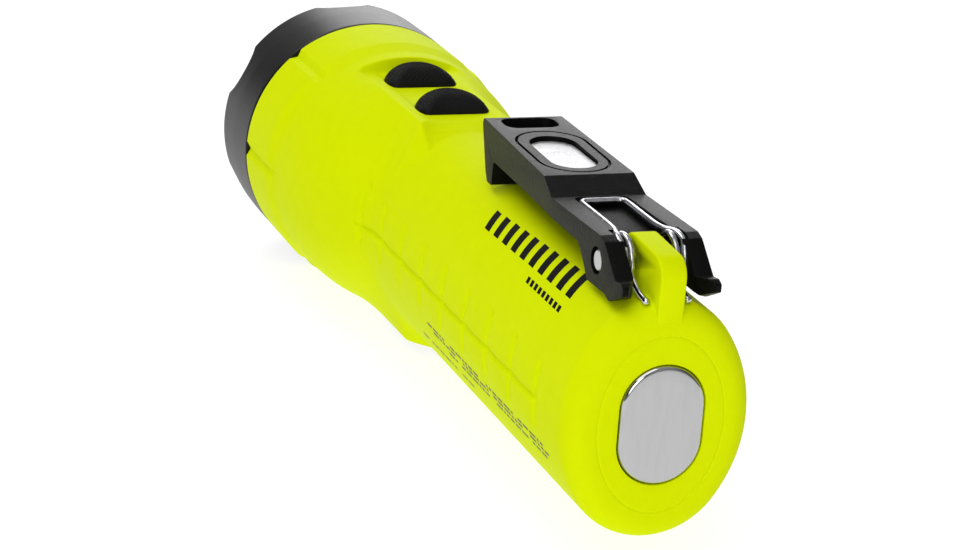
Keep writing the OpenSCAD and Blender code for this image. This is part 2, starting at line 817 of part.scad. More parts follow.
// One side of the clip spring: foot on the handle, coil round the pin, leg of the loop
function spring_side(s) = concat(
    [[foot_x, s * foot_y, foot_z]],
    [[foot_x + 2.2, s * (foot_y + 0.1), foot_z + 0.5]],
    [
        for (i = [0 : coil_steps])
            let (f = i / coil_steps, a = 190 - coil_sweep * f, r = coil_r + coil_grow * f)
                [pin_x + r * cos(a), s * (coil_y0 + (coil_y1 - coil_y0) * f), pin_z + r * sin(a)]
    ],
    [[pin_x + 4.5, s * loop_hw, loop_z + 0.35], [loop_x - 1.2, s * loop_hw, loop_z]],
    [[loop_x - 0.35, s * (loop_hw - 0.35), loop_z]]
);

module clip_spring() {
    left = spring_side(1);
    right = spring_side(-1);
    path = concat(left, [for (i = [len(right) - 1 : -1 : 0]) right[i]]);
    color(steel) wire(path, wire_d / 2, 8);
}

body_shell();
tail_magnet();
tail_plate();
battery_carrier();
battery_cells();
cell_contacts();
contact_springs();
driver_board();
driver_parts();
contact_pins();
heat_sink();
led_board();
main_led();
led_screws();
led_leads();
reflector();
bezel_seal();
switch_board();
switch_front();
switch_rear();
switch_boot();
flood_lens();
flood_gasket();
flood_board();
flood_leds();
clip_arm();
clip_magnet();
clip_plate();
clip_pin();
clip_spring();
key_front();
key_rear();
plunger_front();
plunger_rear();
lens();
lens_gasket();
bezel();
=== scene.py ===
import math

import bmesh
import bpy
import numpy as np
from mathutils import Matrix, Vector


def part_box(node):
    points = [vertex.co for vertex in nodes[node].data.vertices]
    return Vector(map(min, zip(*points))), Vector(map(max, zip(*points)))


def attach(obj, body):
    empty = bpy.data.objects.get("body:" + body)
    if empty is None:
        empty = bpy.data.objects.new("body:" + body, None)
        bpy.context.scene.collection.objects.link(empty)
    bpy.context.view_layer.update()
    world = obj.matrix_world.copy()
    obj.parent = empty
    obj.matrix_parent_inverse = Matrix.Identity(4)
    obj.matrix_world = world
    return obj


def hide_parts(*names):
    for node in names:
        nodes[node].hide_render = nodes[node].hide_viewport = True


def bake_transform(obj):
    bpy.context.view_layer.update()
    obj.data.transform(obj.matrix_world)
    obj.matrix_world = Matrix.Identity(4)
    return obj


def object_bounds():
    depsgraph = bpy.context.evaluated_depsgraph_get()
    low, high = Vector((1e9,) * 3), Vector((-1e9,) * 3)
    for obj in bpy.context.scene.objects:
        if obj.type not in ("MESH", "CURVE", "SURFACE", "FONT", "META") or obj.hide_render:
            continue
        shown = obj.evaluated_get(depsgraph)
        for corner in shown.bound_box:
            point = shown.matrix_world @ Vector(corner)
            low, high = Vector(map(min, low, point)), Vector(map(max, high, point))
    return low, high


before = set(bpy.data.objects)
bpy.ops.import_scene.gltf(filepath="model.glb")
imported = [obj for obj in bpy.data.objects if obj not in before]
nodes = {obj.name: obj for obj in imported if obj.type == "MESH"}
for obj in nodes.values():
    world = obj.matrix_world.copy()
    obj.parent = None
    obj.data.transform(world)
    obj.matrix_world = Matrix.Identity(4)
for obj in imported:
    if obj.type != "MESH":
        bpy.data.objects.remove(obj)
cad_low, cad_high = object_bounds()
MM = 0.001
PI = math.pi


def cad_mm(node):
    """Lowest and highest corner of a CAD node, in millimetres."""
    low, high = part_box(node)
    return np.array(low) / MM, np.array(high) / MM


# ---- Main sizes, in millimetres ----
# +X runs from the tail to the head, +Z is up, and angles round the beam axis run from +Z towards +Y.
bezel_low, bezel_high = cad_mm("bezel")
pin_low, pin_high = cad_mm("clip_pin")
HEAD_R = float(bezel_high[1])
BEZEL_X = float(bezel_low[0])
SEAM_X = BEZEL_X - 0.3
FRONT_X = float(bezel_high[0])
SPIGOT_X = float(cad_mm("body_shell")[1][0])
CLIP_TOP = float(cad_mm("clip_arm")[1][2])
PIN_X = float(pin_low[0] + pin_high[0]) / 2
PIN_Z = float(pin_low[2] + pin_high[2]) / 2
PIN_R = float(pin_high[0] - pin_low[0]) / 2
TAIL_X = 0.5
SPIGOT_R = 23.3
BORE_R = 20.9

# Handle: an oval of four arcs, from its half height, half width and the radius of its top and bottom
OVAL_A, OVAL_B = 21.05, 16.7
END_R = 14.6
END_C = OVAL_A - END_R
SIDE_R = (OVAL_B ** 2 + END_C ** 2 - END_R ** 2) / (2 * (OVAL_B - END_R))
SIDE_C = SIDE_R - OVAL_B
TAIL_ROUND = 4.2

# Key platform and flood light housing: height of the flat and its half width
PLATFORM_Z, PLATFORM_HW = 22.5, 9.3
FLOOD_Z, FLOOD_HW = 23.0, 8.3


# ---- Camera, in metres ----
CAMERA_PLACE = (-0.4262, 0.1936, 0.1788)
CAMERA_FORWARD = (0.8877, -0.3360, -0.3147)
CAMERA_RIGHT = (-0.3314, -0.9409, 0.0697)
CAMERA_LENS, CAMERA_SENSOR = 112.1, 36.0


def scene_object(name, data):
    obj = bpy.data.objects.new(name, data)
    bpy.context.scene.collection.objects.link(obj)
    return obj


def make_camera():
    data = bpy.data.cameras.new("camera")
    data.lens, data.sensor_width = CAMERA_LENS, CAMERA_SENSOR
    data.clip_start, data.clip_end = 0.01, 20.0
    cam = scene_object("camera", data)
    forward = Vector(CAMERA_FORWARD).normalized()
    up = Vector(CAMERA_RIGHT).normalized().cross(forward).normalized()
    right = forward.cross(up)
    rot = Matrix((right, up, -forward)).transposed().to_4x4()
    cam.matrix_world = Matrix.Translation(CAMERA_PLACE) @ rot
    bpy.context.scene.camera = cam


make_camera()


# ---- Material helpers ----
class Nodes:
    """A small wrapper that builds a node material."""

    def __init__(self, name):
        self.material = bpy.data.materials.new(name)
        self.material.use_nodes = True
        self.tree = self.material.node_tree
        self.tree.nodes.clear()
        self.out = self.add("ShaderNodeOutputMaterial")
        self.bsdf = self.add("ShaderNodeBsdfPrincipled")
        self.link(self.bsdf, "BSDF", self.out, "Surface")
        self.coord = self.add("ShaderNodeTexCoord")

    def add(self, kind, **values):
        n = self.tree.nodes.new(kind)
        for k, v in values.items():
            n.inputs[k.replace("_", " ")].default_value = v
        return n

    def link(self, a, a_out, b, b_in):
        self.tree.links.new(a.outputs[a_out], b.inputs[b_in])

    def noise(self, scale, detail=2.0, roughness=0.5, stretch=(1.0, 1.0, 1.0)):
        n = self.add("ShaderNodeTexNoise", Scale=scale, Detail=detail, Roughness=roughness)
        m = self.add("ShaderNodeMapping", Scale=stretch)
        self.link(self.coord, "Object", m, "Vector")
        self.link(m, "Vector", n, "Vector")
        return n

    def base_colour(self, noise, dark, light):
        """Colour between dark and light, following a noise."""
        r = self.add("ShaderNodeValToRGB")
        for e, pos, colour in zip(r.color_ramp.elements, (0.3, 0.7), (dark, light)):
            e.position, e.color = pos, (*colour, 1.0)
        self.link(noise, "Fac", r, "Fac")
        self.link(r, "Color", self.bsdf, "Base Color")

    def roughness(self, noise, low, high):
        r = self.add("ShaderNodeMapRange", From_Min=0.3, From_Max=0.7, To_Min=low, To_Max=high)
        self.link(noise, "Fac", r, "Value")
        self.link(r, "Result", self.bsdf, "Roughness")

    def bump(self, noise, distance):
        b = self.add("ShaderNodeBump", Strength=1.0, Distance=distance)
        self.link(noise, "Fac", b, "Height")
        self.link(b, "Normal", self.bsdf, "Normal")

    def set(self, **values):
        for k, v in values.items():
            self.bsdf.inputs[k.replace("_", " ")].default_value = v


def moulded(name, dark, light, grain, rough, depth=0.00001, specular=0.5, blotch=90.0):
    """Moulded plastic: faint colour variation, and a fine grain in the roughness and in the bump."""
    m = Nodes(name)
    m.base_colour(m.noise(blotch), dark, light)
    fine = m.noise(grain, 2.0, 0.6)
    m.roughness(fine, rough - 0.06, rough + 0.06)
    m.bump(fine, depth)
    m.set(Specular_IOR_Level=specular)
    return m.material


def metal(name, dark, light, rough, scale, depth, stretch=(1.0, 1.0, 1.0)):
    """Metal with fine streaks: in its colour and roughness and, where depth isn't 0, in the bump."""
    m = Nodes(name)
    streak = m.noise(scale, 3.0, 0.6, stretch)
    m.base_colour(streak, dark, light)
    m.roughness(streak, rough * 0.7, rough * 1.3)
    if depth:
        m.bump(streak, depth)
    m.set(Metallic=1.0)
    return m.material


def glass_material():
    m = Nodes("lens_glass")
    n = m.noise(60.0)
    m.roughness(n, 0.01, 0.05)
    m.base_colour(n, (0.93, 0.96, 0.97), (0.97, 0.99, 1.0))
    m.set(Transmission_Weight=1.0, IOR=1.46)
    return m.material


def grey(value):
    return (value, value, value)


# Outside: yellow shell, black bezel, clip and keys, and the print
yellow = moulded("yellow_plastic", (0.715, 0.850, 0.0004), (0.731, 0.866, 0.0008),
                 grain=2600.0, depth=0.00002, rough=0.5, specular=0.010, blotch=420.0)
bezel_black = moulded("bezel_plastic", (0.0022, 0.0022, 0.0020), (0.0036, 0.0036, 0.0033),
                      grain=5200.0, depth=0.00003, rough=0.38, specular=0.22)
clip_black = moulded("clip_plastic", (0.0016, 0.0016, 0.0015), (0.0030, 0.0030, 0.0028),
                     grain=3600.0, depth=0.00010, rough=0.38, specular=0.08)
key_rubber = moulded("key_rubber", grey(0.003), grey(0.006),
                     grain=3600.0, depth=0.00004, rough=0.55, specular=0.14)
seal_rubber = moulded("seal_rubber", grey(0.010), grey(0.016),
                      grain=1500.0, depth=0.00003, rough=0.75, specular=0.25)
ink = moulded("print_ink", (0.003, 0.003, 0.0025), (0.006, 0.006, 0.005),
              grain=6000.0, depth=0.000008, rough=0.5, specular=0.08)
fine_ink = moulded("fine_print_ink", (0.10, 0.12, 0.012), (0.16, 0.19, 0.014),
                   grain=6000.0, depth=0.000008, rough=0.5, specular=0.2)

# Metals
satin = metal("satin_steel", (0.50, 0.50, 0.505), (0.55, 0.55, 0.555),
              rough=0.42, scale=900.0, depth=0.000004, stretch=(1.0, 1.0, 0.12))
rim_metal = metal("rim_steel", (0.46, 0.46, 0.47), (0.52, 0.52, 0.53),
                  rough=0.10, scale=300.0, depth=0.000002)
polished = metal("polished_steel", (0.74, 0.74, 0.76), (0.82, 0.82, 0.84),
                 rough=0.10, scale=300.0, depth=0.000002)
bright = metal("bright_plate", (0.56, 0.56, 0.57), (0.62, 0.62, 0.63), rough=0.52, scale=2400.0, depth=0.0)
wire_metal = metal("spring_wire", (0.46, 0.46, 0.49), (0.66, 0.66, 0.70),
                   rough=0.22, scale=700.0, depth=0.000004)
pin_metal = metal("pin_steel", grey(0.50), grey(0.60), rough=0.38, scale=1200.0, depth=0.000004)
aluminium = metal("turned_aluminium", (0.55, 0.55, 0.57), (0.68, 0.68, 0.70),
                  rough=0.35, scale=900.0, depth=0.000005, stretch=(1.0, 0.2, 0.2))
brass = metal("brass_contact", (0.60, 0.42, 0.14), (0.72, 0.52, 0.20),
              rough=0.28, scale=900.0, depth=0.000003)
mirror_metal = metal("mirror_cup", (0.90, 0.90, 0.91), (0.95, 0.95, 0.96),
                     rough=0.04, scale=400.0, depth=0.000001)

# Inside
carrier_plastic = moulded("carrier_plastic", (0.012, 0.012, 0.013), (0.02, 0.02, 0.022),
                          grain=2500.0, depth=0.00003, rough=0.5, specular=0.4)
cell_wrap = moulded("cell_wrap", (0.015, 0.02, 0.03), (0.03, 0.035, 0.05),
                    grain=1500.0, depth=0.000005, rough=0.25)
board_green = moulded("board_green", (0.004, 0.05, 0.018), (0.008, 0.085, 0.03),
                      grain=1800.0, rough=0.3)
board_white = moulded("board_white", (0.70, 0.70, 0.67), (0.80, 0.80, 0.77),
                      grain=1800.0, rough=0.35)
chip_plastic = moulded("chip_plastic", grey(0.010), grey(0.02),
                       grain=3000.0, rough=0.45, specular=0.4)
phosphor = moulded("phosphor", (0.75, 0.62, 0.06), (0.88, 0.76, 0.12),
                   grain=2500.0, rough=0.4)
red_wire = moulded("red_insulation", (0.35, 0.01, 0.008), (0.45, 0.02, 0.012),
                   grain=2500.0, rough=0.4)
lens_glass = glass_material()


# ---- Mesh helpers ----
def new_object(name, verts_mm, faces, material, sharp_deg=35.0):
    mesh = bpy.data.meshes.new(name)
    mesh.from_pydata([tuple(v) for v in np.asarray(verts_mm) * MM], [], faces)
    mesh.validate()
    mesh.materials.append(material)
    mesh.shade_smooth()
    if sharp_deg:
        mesh.set_sharp_from_angle(angle=math.radians(sharp_deg))
    return scene_object(name, mesh)


def grid_object(name, grid, material, first_centre=None, last_centre=None, sharp_deg=35.0):
    """Tube from a grid of points: rows, columns, 3. Columns wrap; an end with a centre point is closed."""
    rows, cols, _ = grid.shape
    verts = grid.reshape(-1, 3)
    i = np.arange(rows - 1)[:, None] * cols
    j = np.arange(cols)[None, :]
    k = (j + 1) % cols
    quads = np.stack([i + j, i + cols + j, i + cols + k, i + k], axis=-1).reshape(-1, 4)
    faces = quads.tolist()
    extra = []
    for centre, base, flip in ((first_centre, 0, False), (last_centre, (rows - 1) * cols, True)):
        if centre is None:
            continue
        c = len(verts) + len(extra)
        extra.append(centre)
        for a in range(cols):
            b = (a + 1) % cols
            faces.append([c, base + b, base + a] if flip else [c, base + a, base + b])
    if extra:
        verts = np.vstack([verts, np.array(extra)])
    return new_object(name, verts, faces, material, sharp_deg)


def fix_normals(obj, merge=0.0):
    """Point the faces outwards, once points that lie closer together than merge are joined."""
    bm = bmesh.new()
    bm.from_mesh(obj.data)
    if merge:
        bmesh.ops.remove_doubles(bm, verts=bm.verts, dist=merge)
    bmesh.ops.recalc_face_normals(bm, faces=bm.faces)
    bm.to_mesh(obj.data)
    bm.free()


def prism(name, outline, low, high, plane, material):
    """Solid between low and high on the axis that plane leaves out; outline is a list of 2-D points."""
    n = len(outline)
    axis = {"yz": 0, "xz": 1, "xy": 2}[plane]
    verts = [(*p[:axis], level, *p[axis:]) for level in (low, high) for p in outline]
    faces = [list(range(n)), list(range(2 * n - 1, n - 1, -1))]
    faces += [[i, n + i, n + (i + 1) % n, (i + 1) % n] for i in range(n)]
    obj = new_object(name, verts, faces, material, None)
    fix_normals(obj)
    return obj


def apply_modifiers(obj):
    depsgraph = bpy.context.evaluated_depsgraph_get()
    mesh = bpy.data.meshes.new_from_object(obj.evaluated_get(depsgraph))
    old = obj.data
    obj.modifiers.clear()
    obj.data = mesh
    bpy.data.meshes.remove(old)


def cut(obj, cutters, mode="DIFFERENCE"):
    """Boolean with each cutter in turn, then the cutters are removed."""
    for c in cutters:
        m = obj.modifiers.new("cut", "BOOLEAN")
        m.operation, m.solver, m.object = mode, "EXACT", c
    bpy.context.view_layer.update()
    apply_modifiers(obj)
    for c in cutters:
        bpy.data.objects.remove(c)


def bevel(obj, width_mm, segments, angle_deg):
    m = obj.modifiers.new("bevel", "BEVEL")
    m.width, m.segments = width_mm * MM, segments
    m.limit_method, m.angle_limit = "ANGLE", math.radians(angle_deg)
    bpy.context.view_layer.update()
    apply_modifiers(obj)
    shade(obj, 40)


def obround(cx, length, width, steps, along="x"):
    """Slot outline with round ends, its long axis along the first or the second coordinate."""
    r, half = width / 2, (length - width) / 2
    pts = []
    for start, centre in ((-PI / 2, half), (PI / 2, -half)):
        for k in range(steps + 1):
            a = start + PI * k / steps
            pts.append((centre + r * math.cos(a), r * math.sin(a)))
    if along == "y":
        pts = [(-b, a) for a, b in pts]
    return [(cx + a, b) for a, b in pts]


def rectangle(low, high, half):
    """Rectangle from low to high on the first coordinate, and half to each side on the second."""
    return [(low, -half), (high, -half), (high, half), (low, half)]


def pin_circle(radius, steps=48):
    """Circle about the clip's pin, in the XZ plane."""
    turn = np.linspace(0, 2 * PI, steps, endpoint=False)
    return [(PIN_X + radius * math.cos(a), PIN_Z + radius * math.sin(a)) for a in turn]


def shade(obj, sharp_deg):
    obj.data.shade_smooth()
    obj.data.set_sharp_from_angle(angle=math.radians(sharp_deg))


def finish_piece(obj, body, slot, *cad):
    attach(obj, body)
    if cad:
        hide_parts(*cad)


# ---- Body shell ----
def smooth_max(a, b, k):
    h = np.maximum(k - np.abs(a - b), 0.0) / k
    return np.maximum(a, b) + h * h * k / 4


def smooth_step(t):
    t = np.clip(t, 0.0, 1.0)
    return t * t * (3 - 2 * t)


def oval_radius(phi, inset=0.0):
    """Radius of the handle's oval at an angle, or of the oval that lies inset inside it."""
    c, s = np.abs(np.cos(phi)), np.abs(np.sin(phi))
    r2, r1 = END_R - inset, SIDE_R - inset
    slope = math.hypot(SIDE_C, END_C)
    y_t, z_t = r2 * SIDE_C / slope, END_C + r2 * END_C / slope
    end = END_C * c + np.sqrt(np.maximum(r2 ** 2 - (END_C * s) ** 2, 0))
    side = -SIDE_C * s + np.sqrt(np.maximum(r1 ** 2 - (SIDE_C * c) ** 2, 0))
    return np.where(np.arctan2(s, c) < math.atan2(y_t, z_t), end, side)


COLLAR_X = 142.0
CROWN_X = 80.0
CROWN_R = 72.0
CROWN_TOP = HEAD_R - 0.9
HEAD_BLEND = 2.0
COLLAR_PROFILE = ([COLLAR_X, 145.2, 145.9, 149.2, 150.2],
                  [CROWN_TOP, HEAD_R - 0.84, HEAD_R - 0.72, HEAD_R - 0.06, HEAD_R])


def head_radius(x):
    """Radius of the head: a long arc that leaves the handle, then the small steps of the collar."""
    if x < CROWN_X:
        return 0.0
    if x < COLLAR_X:
        return CROWN_TOP - CROWN_R + math.sqrt(CROWN_R ** 2 - (COLLAR_X - x) ** 2)
    return np.interp(x, *COLLAR_PROFILE)


def fairing(radius, phi, edge_phi, edge_r, reach, limit_phi):
    """Straight side face from the platform's edge down to where it touches the section, or to limit_phi."""
    pick = [k for k in np.argsort(phi) if edge_phi < phi[k] < reach]
    if not pick:
        return radius
    ey, ez = edge_r * math.sin(edge_phi), edge_r * math.cos(edge_phi)
    py = radius[pick] * np.sin(phi[pick])
    pz = radius[pick] * np.cos(phi[pick])
    if limit_phi is None:
        last = int(np.argmax(np.arctan2(pz - ez, py - ey)))
    else:
        last = min(int(np.searchsorted(phi[pick], limit_phi)), len(pick) - 1)
    ty, tz = py[last] - ey, pz[last] - ez
    out = radius.copy()
    for k in pick[:last]:
        s, c = math.sin(phi[k]), math.cos(phi[k])
        det = s * tz - c * ty
        if abs(det) > 1e-9:
            out[k] = (ey * tz - ez * ty) / det
    return out


def end_wall(t, inside, flat, base):
    """Front wall of a flat that is sunk into the head; t runs from 0 to 1 along the wall."""
    return np.where(inside & (flat < base), flat + (base - flat) * smooth_step(t), base)


# Key platform: X of the ramp's foot and lip on the centre line, and how far each curves back at the edge;
# then the edge's height along X, the half width of the neck's crease along X, and the recess round the keys
RAMP_FOOT_X, RAMP_FOOT_CURVE = 101.2, 3.3
RAMP_LIP_X, RAMP_LIP_CURVE = 107.0, 3.5
PLATFORM_EDGE = ([97.9, 103.5], [17.3, PLATFORM_Z])
PLATFORM_FAIRING_X = 98.0
PLATFORM_END, PLATFORM_WALL = 140.3, 0.8
PLATFORM_SPAN = (96.0, 143.2)
NECK_X = 129.0
NECK_CREASE = ([NECK_X, 129.8, 132.5, 134.7, 137.1, 139.4, 140.6], [13.6, 13.5, 12.8, 12.2, 11.6, 10.6, 9.5])
RECESS_HW, RECESS_X, RECESS_DEPTH = 6.95, 105.5, 0.26


def platform_flat(x, phi, base):
    """Radius of the platform's ramp and flat; each pass corrects the point's Y for its new height."""
    up = np.abs(phi) < 1.3
    y = base * np.sin(phi)
    z_base = base * np.cos(phi)
    side = PLATFORM_HW + 0.4
    for _ in range(4):
        ya = np.minimum(np.abs(y), side)
        foot = RAMP_FOOT_X - RAMP_FOOT_CURVE * (ya / side) ** 1.5
        lip = RAMP_LIP_X - RAMP_LIP_CURVE * (ya / PLATFORM_HW) ** 2
        t = np.clip((x - foot) / (lip - foot), 0, 1)
        z = z_base + (PLATFORM_Z - z_base) * t
        flat = np.where(up & (t > 0), z / np.maximum(np.cos(phi), 0.2), base)
        y = np.where(up, flat * np.sin(phi), y)
    return flat


def add_platform(x, phi, base):
    """The key bed on one section: flat top, ramp at the back, faired sides, sunk into the head."""
    flat = platform_flat(x, phi, base)
    z_edge = np.interp(x, *PLATFORM_EDGE)
    edge_phi = math.atan2(PLATFORM_HW, z_edge)
    edge_r = math.hypot(PLATFORM_HW, z_edge)
    inside = np.abs(phi) <= edge_phi
    if x > PLATFORM_END:
        return end_wall((x - PLATFORM_END) / PLATFORM_WALL, inside, flat, base)
    r = np.where(inside, flat, base)
    limit = None
    if x > NECK_X:
        crease = np.interp(x, *NECK_CREASE)
        limit = math.asin(min(crease / head_radius(x), 0.9))
        if limit <= edge_phi:
            limit = edge_phi + 0.01
    if x > PLATFORM_FAIRING_X:
        for side in (1, -1):
            r = fairing(r, side * phi, edge_phi, edge_r, 1.45, limit)
    y = r * np.sin(phi)
    back = RECESS_X - (y / 9) ** 2 * 2
    recess = smooth_step((RECESS_HW - np.abs(y)) / 0.25) * smooth_step((x - back) / 0.3)
    return np.where(inside, r - RECESS_DEPTH * recess, r)


# Flood light housing: half width and height of its flat along X; from FLOOD_FULL_X on it is cut flat
FLOOD_START, FLOOD_FULL_X, FLOOD_END = 97.8, 118.0, 132.2
FLOOD_WALL = 0.9
FLOOD_SPAN = (97.0, 134.0)
FLOOD_WIDTH = ([98.5, 99.5, 101, 103.5, 105.3, 107], [0.3, 1.6, 4.0, 6.2, 7.6, FLOOD_HW])
FLOOD_HEIGHT = ([FLOOD_START, 98.4, 101.2, 102.2], [OVAL_A, OVAL_A + 0.1, FLOOD_Z - 0.1, FLOOD_Z])


def add_flood_housing(x, phi, base):
    """The flood light's seat under the neck."""
    psi = np.where(phi > 0, phi - PI, phi + PI)
    half = np.interp(x, *FLOOD_WIDTH)
    z = np.interp(x, *FLOOD_HEIGHT)
    edge_psi = math.atan2(half, z)
    inside = np.abs(psi) <= edge_psi
    flat = z / np.maximum(np.cos(psi), 0.2)
    if x > FLOOD_END:
        return end_wall((x - FLOOD_END) / FLOOD_WALL, inside, flat, base)
    if x < FLOOD_START:
        return base
    r = np.where(inside, np.where(x > FLOOD_FULL_X, flat, np.maximum(flat, base)), base)
    edge_r = math.hypot(half, z)
    if head_radius(x) < edge_r:
        for side in (1, -1):
            r = fairing(r, side * psi, edge_psi, edge_r, 1.5, None)
    return r


# Side grip: one groove along each side, short ones across it at these X, and raised pads between them
GROOVES = [16.1, 28.2, 40.4, 52.6, 64.8, 77.0, 89.1, 101.3, 110.6]
GRIP_START, GRIP_END, GRIP_LIMIT = 14.6, 113.6, 115.0
LONG_DEPTH, LONG_WIDTH = 0.66, 0.58
CROSS_DEPTH, CROSS_WIDTH = 0.85, 0.46
CROSS_SPAN, LAST_CROSS_SPAN = (7.2, 5.6), (9.0, 4.0)
PAD_HEIGHT, PAD_HALF = 0.30, 7.6


def side_grip(x, phi, r):
    """Height of the pads less the depth of the grooves, on both sides of the handle."""
    z = r * np.cos(phi)
    side = np.abs(np.abs(phi) - PI / 2) < 0.7
    window = smooth_step((x - GRIP_START) / 1.0) * smooth_step((GRIP_END - x) / 1.2)
    depth = LONG_DEPTH * np.exp(-(z / LONG_WIDTH) ** 2) * window
    shallow = 1 - 0.45 * np.exp(-((z - 1.6) / 1.0) ** 2)
    for gx in GROOVES:
        top, low = LAST_CROSS_SPAN if gx == GROOVES[-1] else CROSS_SPAN
        ends = smooth_step((top - z) / 1.4) * smooth_step((z + low) / 1.6)
        depth = depth + CROSS_DEPTH * np.exp(-((x - gx) / CROSS_WIDTH) ** 2) * ends * shallow
    pads = smooth_step((PAD_HALF - np.abs(z)) / 3.4) * window
    lift = 0.0
    for a, b in zip(GROOVES[:-1], GROOVES[1:]):
        if a < x <= b:
            lift = (1 - abs(2 * (x - a) / (b - a) - 1) ** 3) * PAD_HEIGHT
    return np.where(side, lift * pads - depth, 0)


NOTCHES = [math.radians(a) for a in (39.5, 90, 140.5, -39.5, -90, -140.5)]
NOTCH_X, NOTCH_RUN = 145.4, 2.2
NOTCH_HALF, NOTCH_DEPTH = math.radians(3.3), 0.85


def collar_notch(x, phi):
    """Depth of the V notches that run back from the seam."""
    depth = np.zeros_like(phi)
    if x < NOTCH_X:
        return depth
    along = smooth_step((x - NOTCH_X) / NOTCH_RUN)
    for a in NOTCHES:
        d = np.abs((phi - a + PI) % (2 * PI) - PI)
        depth = np.maximum(depth, np.clip(1 - d / NOTCH_HALF, 0, 1) ** 0.85 * NOTCH_DEPTH * along)
    return depth


class Rings:
    """Rings of points round the beam axis; x and r are one number or one value for each angle."""

    def __init__(self, cols):
        self.phi = np.linspace(-PI, PI, cols, endpoint=False)
        self.rows = []

    def put(self, x, r):
        x, r = np.broadcast_to(x, self.phi.shape), np.broadcast_to(r, self.phi.shape)
        self.rows.append(np.stack([x, r * np.sin(self.phi), r * np.cos(self.phi)], axis=-1))


# Tail face: the plate's pocket, and the half width and half height of the fine oval line
POCKET_FLOOR_X = 2.35
POCKET_R = 7.65
POCKET_HALF = 10.6 - POCKET_R
LINE_HW, LINE_HH = 11.28, 15.53
LINE_EDGE = 0.22


def tail_rows(rings):
    """Pocket of the tail plate, the tail face with its fine oval line, and the soft tail edge."""
    phi = rings.phi
    c, s = np.cos(phi), np.sin(phi)
    straight = POCKET_R / np.maximum(np.abs(s), 1e-6)
    end = POCKET_HALF * np.abs(c) + np.sqrt(np.maximum(POCKET_R ** 2 - (POCKET_HALF * s) ** 2, 0))
    pocket = np.where(straight * np.abs(c) < POCKET_HALF, straight, end)
    line = 1 / np.sqrt((s / LINE_HW) ** 2 + (c / LINE_HH) ** 2)
    edge = oval_radius(phi, TAIL_ROUND)
    rings.put(POCKET_FLOOR_X, pocket - 0.5)
    rings.put(POCKET_FLOOR_X, pocket)
    for sink, grow in ((0.12, 0.0), (0.03, 0.04), (0.0, 0.13)):
        rings.put(TAIL_X + sink, pocket + grow)
    for t in (0.25, 0.5, 0.75, 0.93):
        rings.put(TAIL_X, pocket + 0.13 + (line - 0.35 - pocket - 0.13) * t)
    for d, sink in ((-LINE_EDGE, 0.0), (-0.1, 0.07), (0.0, 0.12), (0.1, 0.07), (LINE_EDGE, 0.0)):
        rings.put(TAIL_X + sink, line + d)
    for t in np.linspace(0.12, 1.0, 5):
        rings.put(TAIL_X, line + LINE_EDGE + (edge - line - LINE_EDGE) * t)
    for a in np.linspace(0.12, 1.0, 12) * PI / 2:
        rings.put(TAIL_X + TAIL_ROUND * (1 - math.cos(a)), oval_radius(phi, TAIL_ROUND * (1 - math.sin(a))))


# Rings from the tail's edge to the seam: first X, last X and step, closer where the shape turns
STATIONS = ((TAIL_X + TAIL_ROUND + 0.45, 96.5, 0.45), (96.5, 108, 0.22), (108, 139.6, 0.4),
            (131.0, 133.6, 0.15), (139.6, 142.4, 0.12), (142.4, 151, 0.22), (151, SEAM_X - 0.3, 0.7))
GROOVE_STATIONS = (-0.9, -0.6, -0.4, -0.2, 0, 0.2, 0.4, 0.6, 0.9)


def barrel_stations():
    xs = [gx + d for gx in GROOVES for d in GROOVE_STATIONS]
    for first, last, step in STATIONS:
        xs += list(np.arange(first, last, step))
    xs = np.unique(np.round(xs, 3))
    return xs[np.insert(np.diff(xs) > 0.07, 0, True)]


def soften(field, zone):
    """Blur the radii a little, round the axis and along it, at the rings in zone."""
    inner = np.where(zone)[0]
    inner = inner[(inner > 0) & (inner < len(zone) - 1)]
    for _ in range(3):
        ring = (np.roll(field, 1, 1) + 2 * field + np.roll(field, -1, 1)) / 4
        field[zone] = ring[zone]
        field[inner] = (field[inner - 1] + 2 * field[inner] + field[inner + 1]) / 4


def barrel_rows(rings):
    """Handle and head with the key platform, the flood light housing, the side grip and the notches."""
    phi = rings.phi
    xs = barrel_stations()
    field = []
    for x in xs:
        base = smooth_max(oval_radius(phi), head_radius(x), HEAD_BLEND)
        r = base
        if PLATFORM_SPAN[0] < x < PLATFORM_SPAN[1]:
            r = add_platform(x, phi, base)
        if FLOOD_SPAN[0] < x < FLOOD_SPAN[1]:
            r = add_flood_housing(x, phi, r)
        field.append(r)
    field = np.array(field)
    soften(field, (xs > 96) & (xs < 143.5))
    for x, r in zip(xs, field):
        if x < GRIP_LIMIT:
            r = r + side_grip(x, phi, r)
        rings.put(x, r - collar_notch(x, phi))


# Spigot: seal groove and thread
SEAL_START, SEAL_END, SEAL_R = SEAM_X + 1.6, SEAM_X + 3.6, 22.1
THREAD_START, THREAD_END, THREAD_PITCH = SEAM_X + 4.7, SPIGOT_X - 0.7, 2.0
BORE_FLOOR_X = 143.5


